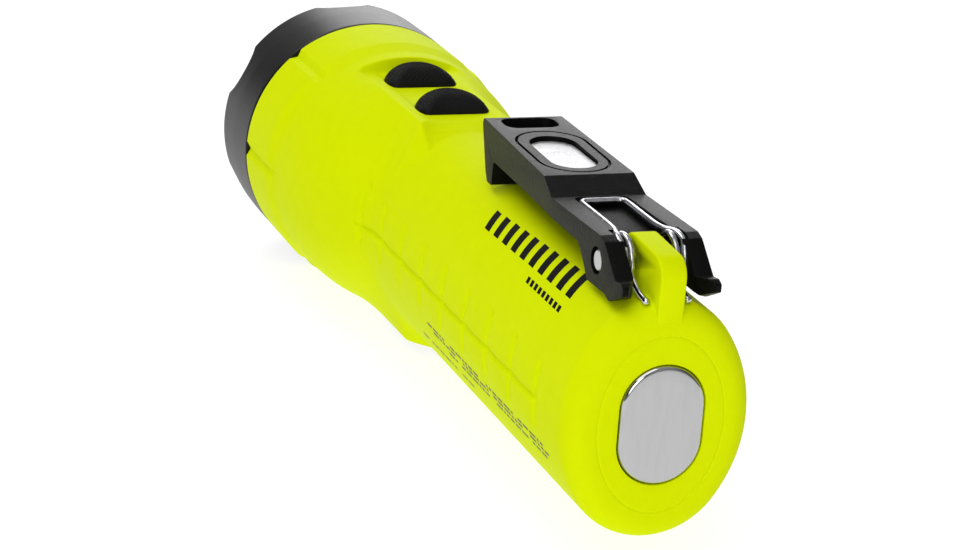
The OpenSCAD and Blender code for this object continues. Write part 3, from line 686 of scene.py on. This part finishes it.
def spigot_rows(rings):
    """Collar's edge, then the spigot with its seal groove and thread, and the bore inside it."""
    edge = HEAD_R - collar_notch(SEAM_X, rings.phi)
    for back, sink in ((0.15, 0.0), (0.04, 0.04), (0.0, 0.16)):
        rings.put(SEAM_X - back, edge - sink)
    for x, r in ((SEAM_X, SPIGOT_R), (SEAL_START, SPIGOT_R), (SEAL_START, SEAL_R), (SEAL_END, SEAL_R),
                 (SEAL_END, SPIGOT_R), (THREAD_START - 0.1, SPIGOT_R)):
        rings.put(x, r)
    for x in np.arange(THREAD_START, THREAD_END, 0.25):
        wave = 0.5 + 0.5 * np.cos(2 * PI * (x - SEAM_X) / THREAD_PITCH - rings.phi)
        rings.put(x, SPIGOT_R - 0.55 + 0.62 * smooth_step(wave * 1.3))
    for x, r in ((SPIGOT_X - 0.5, SPIGOT_R - 0.1), (SPIGOT_X, SPIGOT_R - 0.6), (SPIGOT_X, BORE_R),
                 (150.0, BORE_R), (BORE_FLOOR_X, BORE_R)):
        rings.put(x, r)


# Keys: top, length, half width, radius of the rear corners, and how far they run under the wall
KEY_TOP = float(cad_mm("key_rear")[1][2])
KEY_LEN, KEY_HALF, KEY_CORNER = 10.6, 7.1, 1.9
KEY_BACK = 0.5


def key_outline(half, length, grow=0.0, steps=28):
    """D outline: straight at x = 0 with rounded corners, round towards +X."""
    centre = length - half
    pts = []
    for k in range(steps + 1):
        a = -PI / 2 + PI * k / steps
        pts.append((centre + (half + grow) * math.cos(a), (half + grow) * math.sin(a)))
    r = KEY_CORNER + grow
    for sign, start in ((1, PI / 2), (-1, PI)):
        for k in range(9):
            a = start + (PI / 2) * k / 8
            pts.append((KEY_CORNER + r * math.cos(a), sign * (half - KEY_CORNER) + r * math.sin(a)))
    return pts


# Bay above the flood light's lens, for its board; cutters that run out of the shell end at BELOW and ABOVE
BAY_X, BAY_HW, BAY_TOP = (104.2, 132.6), 5.9, -16.9
BELOW, ABOVE = -30, 40


def make_shell():
    rings = Rings(640)
    tail_rows(rings)
    barrel_rows(rings)
    spigot_rows(rings)
    ends = (POCKET_FLOOR_X, 0, 0), (BORE_FLOOR_X, 0, 0)
    obj = grid_object("body_shell_moulding", np.array(rings.rows), yellow, *ends)
    low, high = cad_mm("flood_lens")
    cx = (low[0] + high[0]) / 2
    length, width = (high - low)[:2]
    board_z = cad_mm("flood_board")[0][2]
    seat_z = cad_mm("flood_gasket")[1][2] + 0.03
    seat = obround(cx, length + 0.3, width + 0.3, 32)
    window = obround(cx, length - 4, width - 4, 32)
    cutters = [
        prism("seat", seat, BELOW, seat_z, "xy", yellow),
        prism("window", window, BELOW, board_z + 0.4, "xy", yellow),
        prism("bay", rectangle(*BAY_X, BAY_HW), board_z - 0.03, BAY_TOP, "xy", yellow),
    ]
    for node in ("key_rear", "key_front"):
        x0 = float(cad_mm(node)[0][0]) + KEY_BACK
        outline = [(x0 + a, b) for a, b in key_outline(KEY_HALF, KEY_LEN, 0.12)]
        cutters.append(prism("opening", outline, PLATFORM_Z - 2.3, ABOVE, "xy", yellow))
    cut(obj, cutters)
    shade(obj, 35)
    return obj


shell = make_shell()
finish_piece(shell, "housing", "yellow_shell", "body_shell")


# ---- Pivot tab ----
def rounded_polygon(points, radii, steps=6):
    """Polygon whose corners are rounded to the given radii."""
    out = []
    n = len(points)
    for i in range(n):
        p = Vector(points[i])
        a = (Vector(points[i - 1]) - p).normalized()
        b = (Vector(points[(i + 1) % n]) - p).normalized()
        r = radii[i]
        if r <= 0:
            out.append(tuple(p))
            continue
        half = a.angle(b) / 2
        reach = r / math.tan(half)
        centre = p + (a + b).normalized() * (r / math.sin(half))
        p1, p2 = p + a * reach, p + b * reach
        a1 = math.atan2(p1.y - centre.y, p1.x - centre.x)
        a2 = math.atan2(p2.y - centre.y, p2.x - centre.x)
        while a2 - a1 > PI:
            a2 -= 2 * PI
        while a2 - a1 < -PI:
            a2 += 2 * PI
        for k in range(steps + 1):
            t = a1 + (a2 - a1) * k / steps
            out.append((centre.x + r * math.cos(t), centre.y + r * math.sin(t)))
    return out


TAB_HW = 2.3


def make_tab():
    """The lug on the tail that the clip's pin passes through."""
    outline = rounded_polygon(
        [(3.0, 14.5), (TAIL_X + 0.15, 16.6), (TAIL_X, 22.0), (TAIL_X, 28.35), (16.9, 29.15), (17.5, 25.2),
         (17.5, 15.0)], [0, 0, 0, 3.5, 3.6, 3.0, 0], 10)
    tab = prism("pivot_tab", outline, -TAB_HW, TAB_HW, "xz", yellow)
    bevel(tab, 0.45, 4, 50)
    cut(tab, [prism("bore", pin_circle(PIN_R + 0.05), -5, 5, "xz", yellow)])
    finish_piece(tab, "housing", "yellow_shell")


make_tab()


# ---- Keys ----
KEY_RINGS = 44
SIDE_STEP = 0.16
PIP_PITCH, PIP_HEIGHT, PIP_SPREAD = 0.62, 0.26, 0.055
PIP_ROW = 0.866


def closer(outline, step):
    """The outline with points added so that no two lie further apart than about one step."""
    out = []
    for i, p in enumerate(outline):
        q = outline[(i + 1) % len(outline)]
        n = max(1, int(np.hypot(*(q - p)) / step))
        out += [p + (q - p) * k / n for k in range(n)]
    return np.array(out)


def pips(x, y):
    """Height of a close pattern of round pips, staggered from row to row."""
    u, v = x / PIP_PITCH, y / PIP_PITCH / PIP_ROW
    du = (u + 0.5 * (np.floor(v) % 2)) % 1 - 0.5
    dv = (v % 1 - 0.5) * PIP_ROW
    return PIP_HEIGHT * (np.exp(-(du ** 2 + dv ** 2) / PIP_SPREAD) - 0.5)


def make_key(name, node, body):
    """Domed cap of shrinking rings, smooth at its foot and with pips above."""
    x0 = float(cad_mm(node)[0][0]) + KEY_BACK
    outline = np.array(key_outline(KEY_HALF - 0.04, KEY_LEN - 0.04))
    outline[:, 0] += x0 + 0.04
    ring0 = closer(outline, SIDE_STEP)
    centre = np.array([x0 + 5.0, 0.0])
    base_z = PLATFORM_Z - 1.6
    rows = [np.c_[ring0, np.full(len(ring0), z)] for z in (base_z, PLATFORM_Z - 0.15)]
    for k in range(KEY_RINGS):
        t = (k + 0.6) / KEY_RINGS
        ring = ring0 + (centre - ring0) * (t * 0.985)
        dome = PLATFORM_Z - 0.1 + (KEY_TOP - PLATFORM_Z + 0.05) * (1 - (1 - t) ** 2.5) ** 0.7
        height = np.full(len(ring), dome)
        if k > 2:
            height += pips(ring[:, 0], ring[:, 1])
        rows.append(np.c_[ring, height])
    ends = (centre[0], 0, base_z), (centre[0], 0, KEY_TOP - 0.02)
    obj = grid_object(name, np.array(rows), key_rubber, *ends)
    fix_normals(obj)
    finish_piece(obj, body, "key_rubber", node)


make_key("key_cap_rear", "key_rear", "rear_button")
make_key("key_cap_front", "key_front", "front_button")


# ---- Bezel ----
SCALLOP_DEPTH, SCALLOP_R, SCALLOP_TURN = 3.1, 6.7, math.radians(2.5)
LIP_R, FLARE_X, FLARE_SLOPE = 20.4, 180.8, 1.19
RIM_ROUND = 0.7
TAPER_X, TAPER = 175.0, 0.15
# Inside, from the front to the back: the lens seat, its step and the thread
BEZEL_BORE = ((179.3, 23.1), (174.5, 23.1), (174.3, 23.46), (169.2, 23.46), (169.0, SPIGOT_R + 0.65),
              (BEZEL_X, SPIGOT_R + 0.65))


def rim_x(phi, r):
    """The rim's X at an angle and radius: six shallow scallops are cut into it."""
    a = (phi - SCALLOP_TURN + PI / 6) % (PI / 3) - PI / 6
    t = np.minimum(np.abs(r * np.sin(a)), SCALLOP_R)
    bottom = FRONT_X - SCALLOP_DEPTH + SCALLOP_R - np.sqrt(SCALLOP_R ** 2 - t ** 2)
    k = 0.35
    h = np.maximum(k - np.abs(bottom - FRONT_X), 0) / k
    return np.minimum(bottom, FRONT_X) - h * h * k / 4


def bezel_rows(cols):
    """Closed section of the bezel: bore, rear edge, outside, scalloped rim, flare and front lip."""
    rings = Rings(cols)
    phi, put = rings.phi, rings.put
    for x, r in BEZEL_BORE:
        put(x, r)
    put(BEZEL_X, HEAD_R - 0.45)
    put(BEZEL_X + 0.06, HEAD_R - 0.12)
    for x in np.arange(BEZEL_X + 0.25, TAPER_X, 0.6):
        put(x, HEAD_R)
    shoulder = rim_x(phi, HEAD_R) - RIM_ROUND
    for t in np.linspace(0, 1, 14):
        put(TAPER_X + (shoulder - TAPER_X) * t, HEAD_R - TAPER * t)
    for a in np.linspace(0, PI / 2, 7)[1:]:
        put(shoulder + RIM_ROUND * math.sin(a), HEAD_R - TAPER - RIM_ROUND * (1 - math.cos(a)))
    # radius at which the flare meets the scalloped rim, found by a few passes
    mouth = np.full(cols, 24.0)
    for _ in range(6):
        mouth = LIP_R + (rim_x(phi, mouth) - FLARE_X) * FLARE_SLOPE
    mouth = np.maximum(mouth, LIP_R + 0.05)
    for t in np.linspace(0, 1, 9)[1:]:
        r = (HEAD_R - TAPER - RIM_ROUND) * (1 - t) + mouth * t
        put(rim_x(phi, r), r)
    x_in = rim_x(phi, mouth)
    for t in np.linspace(0, 1, 6)[1:]:
        put(x_in + (FLARE_X - x_in) * t - 0.02 * t, mouth + (LIP_R - mouth) * t)
    put(179.4, LIP_R)
    put(179.3, LIP_R + 0.2)
    return np.array(rings.rows + rings.rows[:1])


def make_bezel():
    ring = grid_object("bezel_ring_moulding", bezel_rows(720), bezel_black)
    fix_normals(ring, 1e-6)
    ring.data.set_sharp_from_angle(angle=math.radians(40))
    finish_piece(ring, "bezel_ring", "bezel_black", "bezel")


make_bezel()


# ---- Clip ----
ARM_HW = 9.4
EAR_FACE_Y = 8.1


def clip_cutters():
    """The gap between the ears, the sunken bed of the spring's loop and the jaw's slot."""
    bed = rounded_polygon(rectangle(15, 34.7, 4.9), [0, 1.0, 1.0, 0])
    slot = rounded_polygon(rectangle(67.1, 72.95, 5.2), [2.2] * 4)
    return [
        prism("gap", rectangle(-2, 18.4, 5), 10, ABOVE, "xy", clip_black),
        prism("gap_rear", rectangle(-2, 9.6, 5.4), 10, ABOVE, "xy", clip_black),
        prism("bed", bed, 27.3, ABOVE, "xy", clip_black),
        prism("slot", slot, CLIP_TOP - 2.8, ABOVE, "xy", clip_black),
    ]


def clip_details():
    """Sharp-edged cuts: the plate's recess, the groove round it, the pin's hole and the coils' hollows."""
    recess = prism("recess", obround(52.8, 18.6, 8.8, 24), 30.25, ABOVE, "xy", clip_black)
    groove = prism("groove", obround(53.2, 23.9, 13.4, 32), 30.8, ABOVE, "xy", clip_black)
    cut(groove, [prism("island", obround(53.2, 22.8, 12.3, 32), 30.5, ABOVE + 1, "xy", clip_black)])
    cutters = [recess, groove, prism("hole", pin_circle(PIN_R + 0.02), -20, 20, "xz", clip_black)]
    for name, radius, near, far in (("sink", PIN_R + 0.5, EAR_FACE_Y, 12), ("hollow", 4.95, 4.5, 6.3)):
        for s in (-1, 1):
            cutters.append(prism(name, pin_circle(radius), *sorted((s * near, s * far)), "xz", clip_black))
    return cutters


def make_clip():
    # side view: from the jaw's tip back along the top, round the ear and its lip, and forward underneath
    outline = rounded_polygon(
        [(74.1, CLIP_TOP - 0.02), (40.1, 31.1), (34.9, 28.72), (12.3, 29.38), (10.3, 28.8), (4.5, 24.1),
         (2.4, 24.42), (1.05, 23.9), (1.05, 22.5), (6.5, 19.9), (8.6, 20.5), (16.6, 20.3), (18.8, 22.8),
         (21.6, 25.35), (67.1, 25.6), (67.3, 20.95), (69.9, 20.95), (71.1, 22.6), (74.4, 30.6)],
        [0.8, 0.5, 0.9, 1.6, 1.2, 0.7, 0.7, 0.5, 0.5, 0.5, 0.7, 0.9, 1.2, 1.6, 0.9, 0.5, 0.6, 1.2, 0.6])
    arm = prism("clip_arm_moulding", outline, -ARM_HW, ARM_HW, "xz", clip_black)
    # plan view: the sides draw in towards the jaw
    half_plan = [(76, 7.42), (40.1, 8.37), (34.9, 8.7), (0, 8.7)]
    plan = [(x, -y) for x, y in half_plan] + half_plan[::-1]
    cut(arm, [prism("keep", plan, 10, ABOVE, "xy", clip_black)], "INTERSECT")
    cut(arm, clip_cutters())
    # the ears' undersides slope with the handle, and their rear corners are cut back below the lips
    for s in (-1, 1):
        slope = [(s * 4.0, 22.3), (s * 9.6, 19.3), (s * 9.6, 15), (s * 4.0, 15)]
        cut(arm, [prism("wedge", slope, -2, 20.5, "yz", clip_black)])
        corner = [(-2, s * 4.9), (5.6, s * 4.9), (1.0, s * 7.7), (-2, s * 7.7)]
        cut(arm, [prism("taper", corner, 10, 24.6, "xy", clip_black)])
    bevel(arm, 0.32, 3, 28)
    cut(arm, clip_details())
    shade(arm, 35)
    finish_piece(arm, "clip", "clip_black", "clip_arm")


make_clip()


# ---- Bright plates and the pin ----
def layered(name, outline_fn, profile, axis, material, body, slot, node):
    """Plate built from inset outlines: profile lists (inset, level), with the level along axis."""
    rows = []
    for inset, level in profile:
        pts = np.array(outline_fn(inset))
        lv = np.full(len(pts), level)
        rows.append(np.c_[lv, pts[:, 0], pts[:, 1]] if axis == "x" else np.c_[pts[:, 0], pts[:, 1], lv])
    grid = np.array(rows)
    first, last = grid[0].mean(axis=0), grid[-1].mean(axis=0)
    obj = grid_object(name, grid, material, tuple(first), tuple(last), 50)
    fix_normals(obj)
    finish_piece(obj, body, slot, node)
    return obj


def tail_outline(inset):
    return obround(0, 20.9 - 2 * inset, 15.0 - 2 * inset, 40, "y")


def clip_outline(inset):
    return obround(52.8, 18.2 - 2 * inset, 8.4 - 2 * inset, 40)


def make_plates():
    """The tail plate, whose rounded edge is polished, and the plate in the clip."""
    edge = [(0.9 * (1 - math.cos(a)), 1.0 - 0.98 * math.sin(a)) for a in np.linspace(0.0, 1.0, 9) * PI / 2]
    profile = [(0.0, 2.1), (0.0, 1.3)] + edge + [(1.0, 0.0), (3.0, 0.0)]
    plate = layered("tail_plate_bright", tail_outline, profile, "x", satin,
                    "housing", "satin_steel", "tail_plate")
    plate.data.materials.append(rim_metal)
    for poly in plate.data.polygons:
        if abs(poly.normal.x) < 0.97:
            poly.material_index = 1
    top = float(cad_mm("clip_plate")[1][2])
    profile = [(0.0, top - 0.45), (0.0, top - 0.12), (0.04, top - 0.03), (0.13, top), (1.0, top)]
    layered("clip_plate_bright", clip_outline, profile, "z", bright, "clip", "bright_steel", "clip_plate")


PIN_HALF, PIN_CHAMFER = 8.45, 0.25


def make_pin():
    rows = []
    a = np.linspace(0, 2 * PI, 64, endpoint=False)
    flat = PIN_HALF - PIN_CHAMFER
    for inset, y in ((PIN_CHAMFER, -PIN_HALF), (0.0, -flat), (0.0, flat), (PIN_CHAMFER, PIN_HALF)):
        r = PIN_R - inset
        rows.append(np.c_[PIN_X + r * np.cos(a), np.full(len(a), y), PIN_Z + r * np.sin(a)])
    ends = (PIN_X, -PIN_HALF, PIN_Z), (PIN_X, PIN_HALF, PIN_Z)
    obj = grid_object("clip_pin_steel", np.array(rows), pin_metal, *ends)
    fix_normals(obj)
    finish_piece(obj, "clip", "satin_steel", "clip_pin")


make_plates()
make_pin()


# ---- Clip spring ----
def smooth_path(points, step):
    """Catmull-Rom curve through the points."""
    p = [np.array(q, float) for q in points]
    p = [2 * p[0] - p[1]] + p + [2 * p[-1] - p[-2]]
    out = []
    for a, b, c, d in zip(p, p[1:], p[2:], p[3:]):
        n = max(2, int(np.linalg.norm(c - b) / step))
        for t in np.arange(n) / n:
            out.append(0.5 * (2 * b + (c - a) * t + (2 * a - 5 * b + 4 * c - d) * t ** 2
                              + (3 * b - a - 3 * c + d) * t ** 3))
    out.append(p[-2])
    return np.array(out)


def tube(name, path, radius, material, segments, ball):
    """Round wire along a path; ball is the radius of the rounded lump at each end."""
    tangent = np.gradient(path, axis=0)
    tangent /= np.linalg.norm(tangent, axis=1)[:, None]
    up = np.cross(tangent[0], (0.3, 0.2, 0.9))
    length = np.concatenate([[0], np.cumsum(np.linalg.norm(np.diff(path, axis=0), axis=1))])
    a = np.linspace(0, 2 * PI, segments, endpoint=False)
    rows = []
    for point, along, walked in zip(path, tangent, length):
        up = up - along * np.dot(up, along)
        up /= np.linalg.norm(up)
        side = np.cross(along, up)
        r = radius
        d = min(walked, length[-1] - walked)
        if d < 2 * ball:
            r = max(math.sqrt(max(ball ** 2 - (d - ball) ** 2, 1e-4)), radius if d > ball else 0.02)
        rows.append(point + r * (np.cos(a)[:, None] * up + np.sin(a)[:, None] * side))
    obj = grid_object(name, np.array(rows), material, tuple(path[0]), tuple(path[-1]), 60)
    fix_normals(obj)
    return obj


# Wire: its radius and the ball's, then the coil's radius, Y and angle at its first and last point
WIRE_R, BALL_R = 0.56, 0.72
COIL_R, COIL_Y, COIL_TURN = (4.1, 4.25), (4.0, 5.6), (195.0, -245.0)
COIL_STEPS = 36
COIL_FLAT = 0.2
LOOP_X, LOOP_Z = 33.6, 28.36


def spring_half(s):
    """One side of the wire: ball end on the tail, one turn round the pin, leg along the clip's bed."""
    pts = [(2.2, s * 3.6, 20.85), (3.4, s * 3.63, 20.9), (5.4, s * 3.75, 21.35), (7.3, s * 3.9, 22.3)]
    for k in range(COIL_STEPS + 1):
        f = k / COIL_STEPS
        a = math.radians(COIL_TURN[0] + (COIL_TURN[1] - COIL_TURN[0]) * f)
        r = COIL_R[0] + (COIL_R[1] - COIL_R[0]) * f
        out = max(0.0, (f - COIL_FLAT) / (1 - COIL_FLAT))
        y = COIL_Y[0] + (COIL_Y[1] - COIL_Y[0]) * out
        pts.append((PIN_X + r * math.cos(a), s * y, PIN_Z + r * math.sin(a)))
    pts += [(13.3, s * 5.4, 28.98), (15.0, s * 4.95, 28.85), (16.9, s * 4.36, 28.62), (20, s * 4.08, 28.48),
            (26, s * 4.05, 28.42), (31.6, s * 4.05, 28.38), (33.1, s * 3.75, LOOP_Z),
            (LOOP_X, s * 2.6, LOOP_Z)]
    return pts


wire_points = spring_half(1) + [(LOOP_X, 0, LOOP_Z)] + spring_half(-1)[::-1]
spring = tube("clip_spring_wire", smooth_path(wire_points, 0.3), WIRE_R, wire_metal, 14, BALL_R)
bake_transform(spring)
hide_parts("clip_spring")


# ---- Print: a plain band of slanted bars in place of the maker's words ----
def arc_lengths(phi):
    """Arc length along the handle's section from the first of these angles to each of them."""
    r = oval_radius(phi)
    steps = np.diff(np.c_[r * np.sin(phi), r * np.cos(phi)], axis=0)
    return np.concatenate([[0], np.cumsum(np.linalg.norm(steps, axis=1))])


def arc_at(deg):
    """Arc length on the handle's section from the top down to an angle."""
    return float(arc_lengths(np.linspace(0, math.radians(deg), 400))[-1])


PATCH_CELLS = 10
PATCH_SINK = 0.05
ARC_PHI = np.linspace(0, PI, 2000)
ARC_LENGTH = arc_lengths(ARC_PHI)


def side_patch(name, corners, material, lift=0.03):
    """Thin raised mark on the handle's +Y side; corners are (x, arc) pairs of a quadrilateral."""
    n = PATCH_CELLS
    p00, p10, p11, p01 = (np.array(p) for p in corners)
    verts = []
    for layer in (lift, -PATCH_SINK):
        for i in range(n + 1):
            for j in range(n + 1):
                u, v = i / n, j / n
                x, arc = (p00 * (1 - u) + p10 * u) * (1 - v) + (p01 * (1 - u) + p11 * u) * v
                phi = np.interp([arc], ARC_LENGTH, ARC_PHI)
                base = oval_radius(phi)
                r = float((base + side_grip(x, phi, base))[0]) + layer
                verts.append((x, r * math.sin(phi[0]), r * math.cos(phi[0])))

    def at(i, j, k):
        return k * (n + 1) ** 2 + i * (n + 1) + j

    faces = []
    for i in range(n):
        for j in range(n):
            faces.append([at(i, j, 0), at(i + 1, j, 0), at(i + 1, j + 1, 0), at(i, j + 1, 0)])
            faces.append([at(i, j, 1), at(i, j + 1, 1), at(i + 1, j + 1, 1), at(i + 1, j, 1)])
        for j in (0, n):
            faces.append([at(i, j, 0), at(i + 1, j, 0), at(i + 1, j, 1), at(i, j, 1)])
            faces.append([at(j, i, 0), at(j, i + 1, 0), at(j, i + 1, 1), at(j, i, 1)])
    obj = new_object(name, verts, faces, material, 40)
    fix_normals(obj)
    return obj


def join(objs, name):
    bm = bmesh.new()
    for o in objs:
        bm.from_mesh(o.data)
    mesh = bpy.data.meshes.new(name)
    bm.to_mesh(mesh)
    bm.free()
    mesh.materials.append(objs[0].data.materials[0])
    obj = scene_object(name, mesh)
    shade(obj, 40)
    for o in objs:
        bpy.data.objects.remove(o)
    return obj


# Rows of dashes: angle, first and last X; the dashes take these lengths in turn
DASH_ROWS = ((115.5, 13.0, 73.0), (118.5, 10.5, 71.0), (122.0, 12.0, 62.0), (130.5, 52.0, 78.0))
DASH_LENGTHS = (1.3, 2.6, 0.9, 2.0, 3.1)
DASH_HALF, DASH_GAP = 0.26, 0.6


def make_bars():
    """A row of slanted bars that widens towards the head, and a short row of small ones under it."""
    bars = []
    for k in range(10):
        x = 18.2 + 4.3 * k
        low, top = arc_at(33.2 + 0.07 * (x - 18)), arc_at(19.0 + 0.16 * (x - 20))
        bars.append(side_patch("bar", ((x, low), (x + 2.3, low), (x + 4.0, top), (x + 1.7, top)), ink))
    low, top = arc_at(41.9), arc_at(38.6)
    for k in range(9):
        x = 18.3 + 1.85 * k
        bars.append(side_patch("bar", ((x, low), (x + 1.15, low), (x + 1.45, top), (x + 0.3, top)), ink))
    return join(bars, "print_bars")


def make_dashes():
    """Rows of dashes of uneven length, with a gap after every few."""
    dashes = []
    for row, (deg, first, last) in enumerate(DASH_ROWS):
        low, top = arc_at(deg) + DASH_HALF, arc_at(deg) - DASH_HALF
        x, k = first, row
        while x < last:
            end = x + DASH_LENGTHS[(2 * k + row) % len(DASH_LENGTHS)]
            if k % 7 != 5:
                corners = (x, low), (end, low), (end, top), (x, top)
                dashes.append(side_patch("dash", corners, fine_ink, 0.02))
            x = end + DASH_GAP
            k += 1
    return join(dashes, "print_dashes")


finish_piece(make_bars(), "housing", None)
finish_piece(make_dashes(), "housing", None)


# ---- Other visible CAD nodes keep their shape and get a material ----
looks = {
    "reflector": mirror_metal, "lens": lens_glass, "flood_lens": lens_glass, "lens_gasket": seal_rubber,
    "bezel_seal": seal_rubber, "flood_gasket": seal_rubber, "switch_boot": seal_rubber,
    "main_led": phosphor, "flood_leds": phosphor, "led_board": board_white, "flood_board": board_white,
    "led_screws": polished, "led_leads": red_wire, "heat_sink": aluminium, "driver_board": board_green,
    "switch_board": board_green, "driver_parts": chip_plastic, "switch_front": chip_plastic,
    "switch_rear": chip_plastic, "plunger_front": chip_plastic, "plunger_rear": chip_plastic,
    "battery_carrier": carrier_plastic, "battery_cells": cell_wrap, "cell_contacts": brass,
    "contact_pins": brass, "contact_springs": polished, "tail_magnet": polished, "clip_magnet": polished,
}
for name, material in looks.items():
    data = nodes[name].data
    data.materials.clear()
    data.materials.append(material)


# ---- Floor and light, in metres ----
FLOOR_HALF = 3.0


def make_floor():
    corners = [(x, y, cad_low[2]) for x, y in rectangle(-FLOOR_HALF, FLOOR_HALF, FLOOR_HALF)]
    mesh = bpy.data.meshes.new("floor")
    mesh.from_pydata(corners, [], [[0, 1, 2, 3]])
    m = Nodes("floor_white")
    m.base_colour(m.noise(6.0), grey(0.24), grey(0.26))
    m.set(Roughness=0.9, Specular_IOR_Level=0.1, Emission_Strength=0.86, Emission_Color=(1, 1, 1, 1))
    mesh.materials.append(m.material)
    scene_object("floor", mesh)


def area(name, place, target, size, power):
    data = bpy.data.lights.new(name, "AREA")
    data.shape, data.size, data.energy = "DISK", size, power
    obj = scene_object(name, data)
    obj.location = place
    obj.rotation_euler = (Vector(target) - Vector(place)).to_track_quat("-Z", "Y").to_euler()


# Brightness of the surroundings: by height, from the horizon up, and by side, from -Y to +Y
WORLD_STRENGTH = 0.85
BY_HEIGHT = ((0.10, 0.9), (0.30, 0.42), (0.55, 0.36), (0.9, 0.5))
BY_SIDE = ((0.06, 0.3), (0.22, 0.9), (0.45, 1.0), (0.66, 0.22))


def make_world():
    """White round the horizon and dimmer overhead and at the sides, like a white cove."""
    world = bpy.data.worlds.new("studio")
    bpy.context.scene.world = world
    world.use_nodes = True
    tree = world.node_tree
    new, link = tree.nodes.new, tree.links.new
    back = tree.nodes["Background"]
    split = new("ShaderNodeSeparateXYZ")
    link(new("ShaderNodeTexCoord").outputs["Generated"], split.inputs["Vector"])
    shift = new("ShaderNodeMapRange")
    for k, v in zip(("From Min", "From Max", "To Min", "To Max"), (-1.0, 1.0, 0.0, 1.0)):
        shift.inputs[k].default_value = v
    link(split.outputs["Y"], shift.inputs["Value"])
    mix = new("ShaderNodeMix")
    mix.data_type, mix.blend_type = "RGBA", "MULTIPLY"
    mix.inputs["Factor"].default_value = 1.0
    for source, stops, socket in ((split.outputs["Z"], BY_HEIGHT, 6), (shift.outputs["Result"], BY_SIDE, 7)):
        ramp = new("ShaderNodeValToRGB")
        elements = ramp.color_ramp.elements
        while len(elements) < len(stops):
            elements.new(0.5)
        for e, (pos, v) in zip(elements, stops):
            e.position, e.color = pos, (v, v, v, 1.0)
        link(source, ramp.inputs["Fac"])
        link(ramp.outputs["Color"], mix.inputs[socket])
    link(mix.outputs[2], back.inputs["Color"])
    back.inputs["Strength"].default_value = WORLD_STRENGTH


make_floor()
make_world()
area("key_light", (-0.75, 0.55, 0.45), (0.06, 0, 0), 0.7, 3.3)
area("back_light", (0.95, -0.34, 0.36), (0.08, 0, 0), 0.6, 2.6)
area("top_light", (-0.2, 0.3, 0.85), (0.08, 0, 0), 0.8, 2.6)
area("front_light", (0.55, 0.28, 0.72), (0.1, 0, 0), 0.6, 2.6)
bpy.context.scene.view_settings.view_transform = "Standard"
bpy.context.scene.view_settings.look = "None"
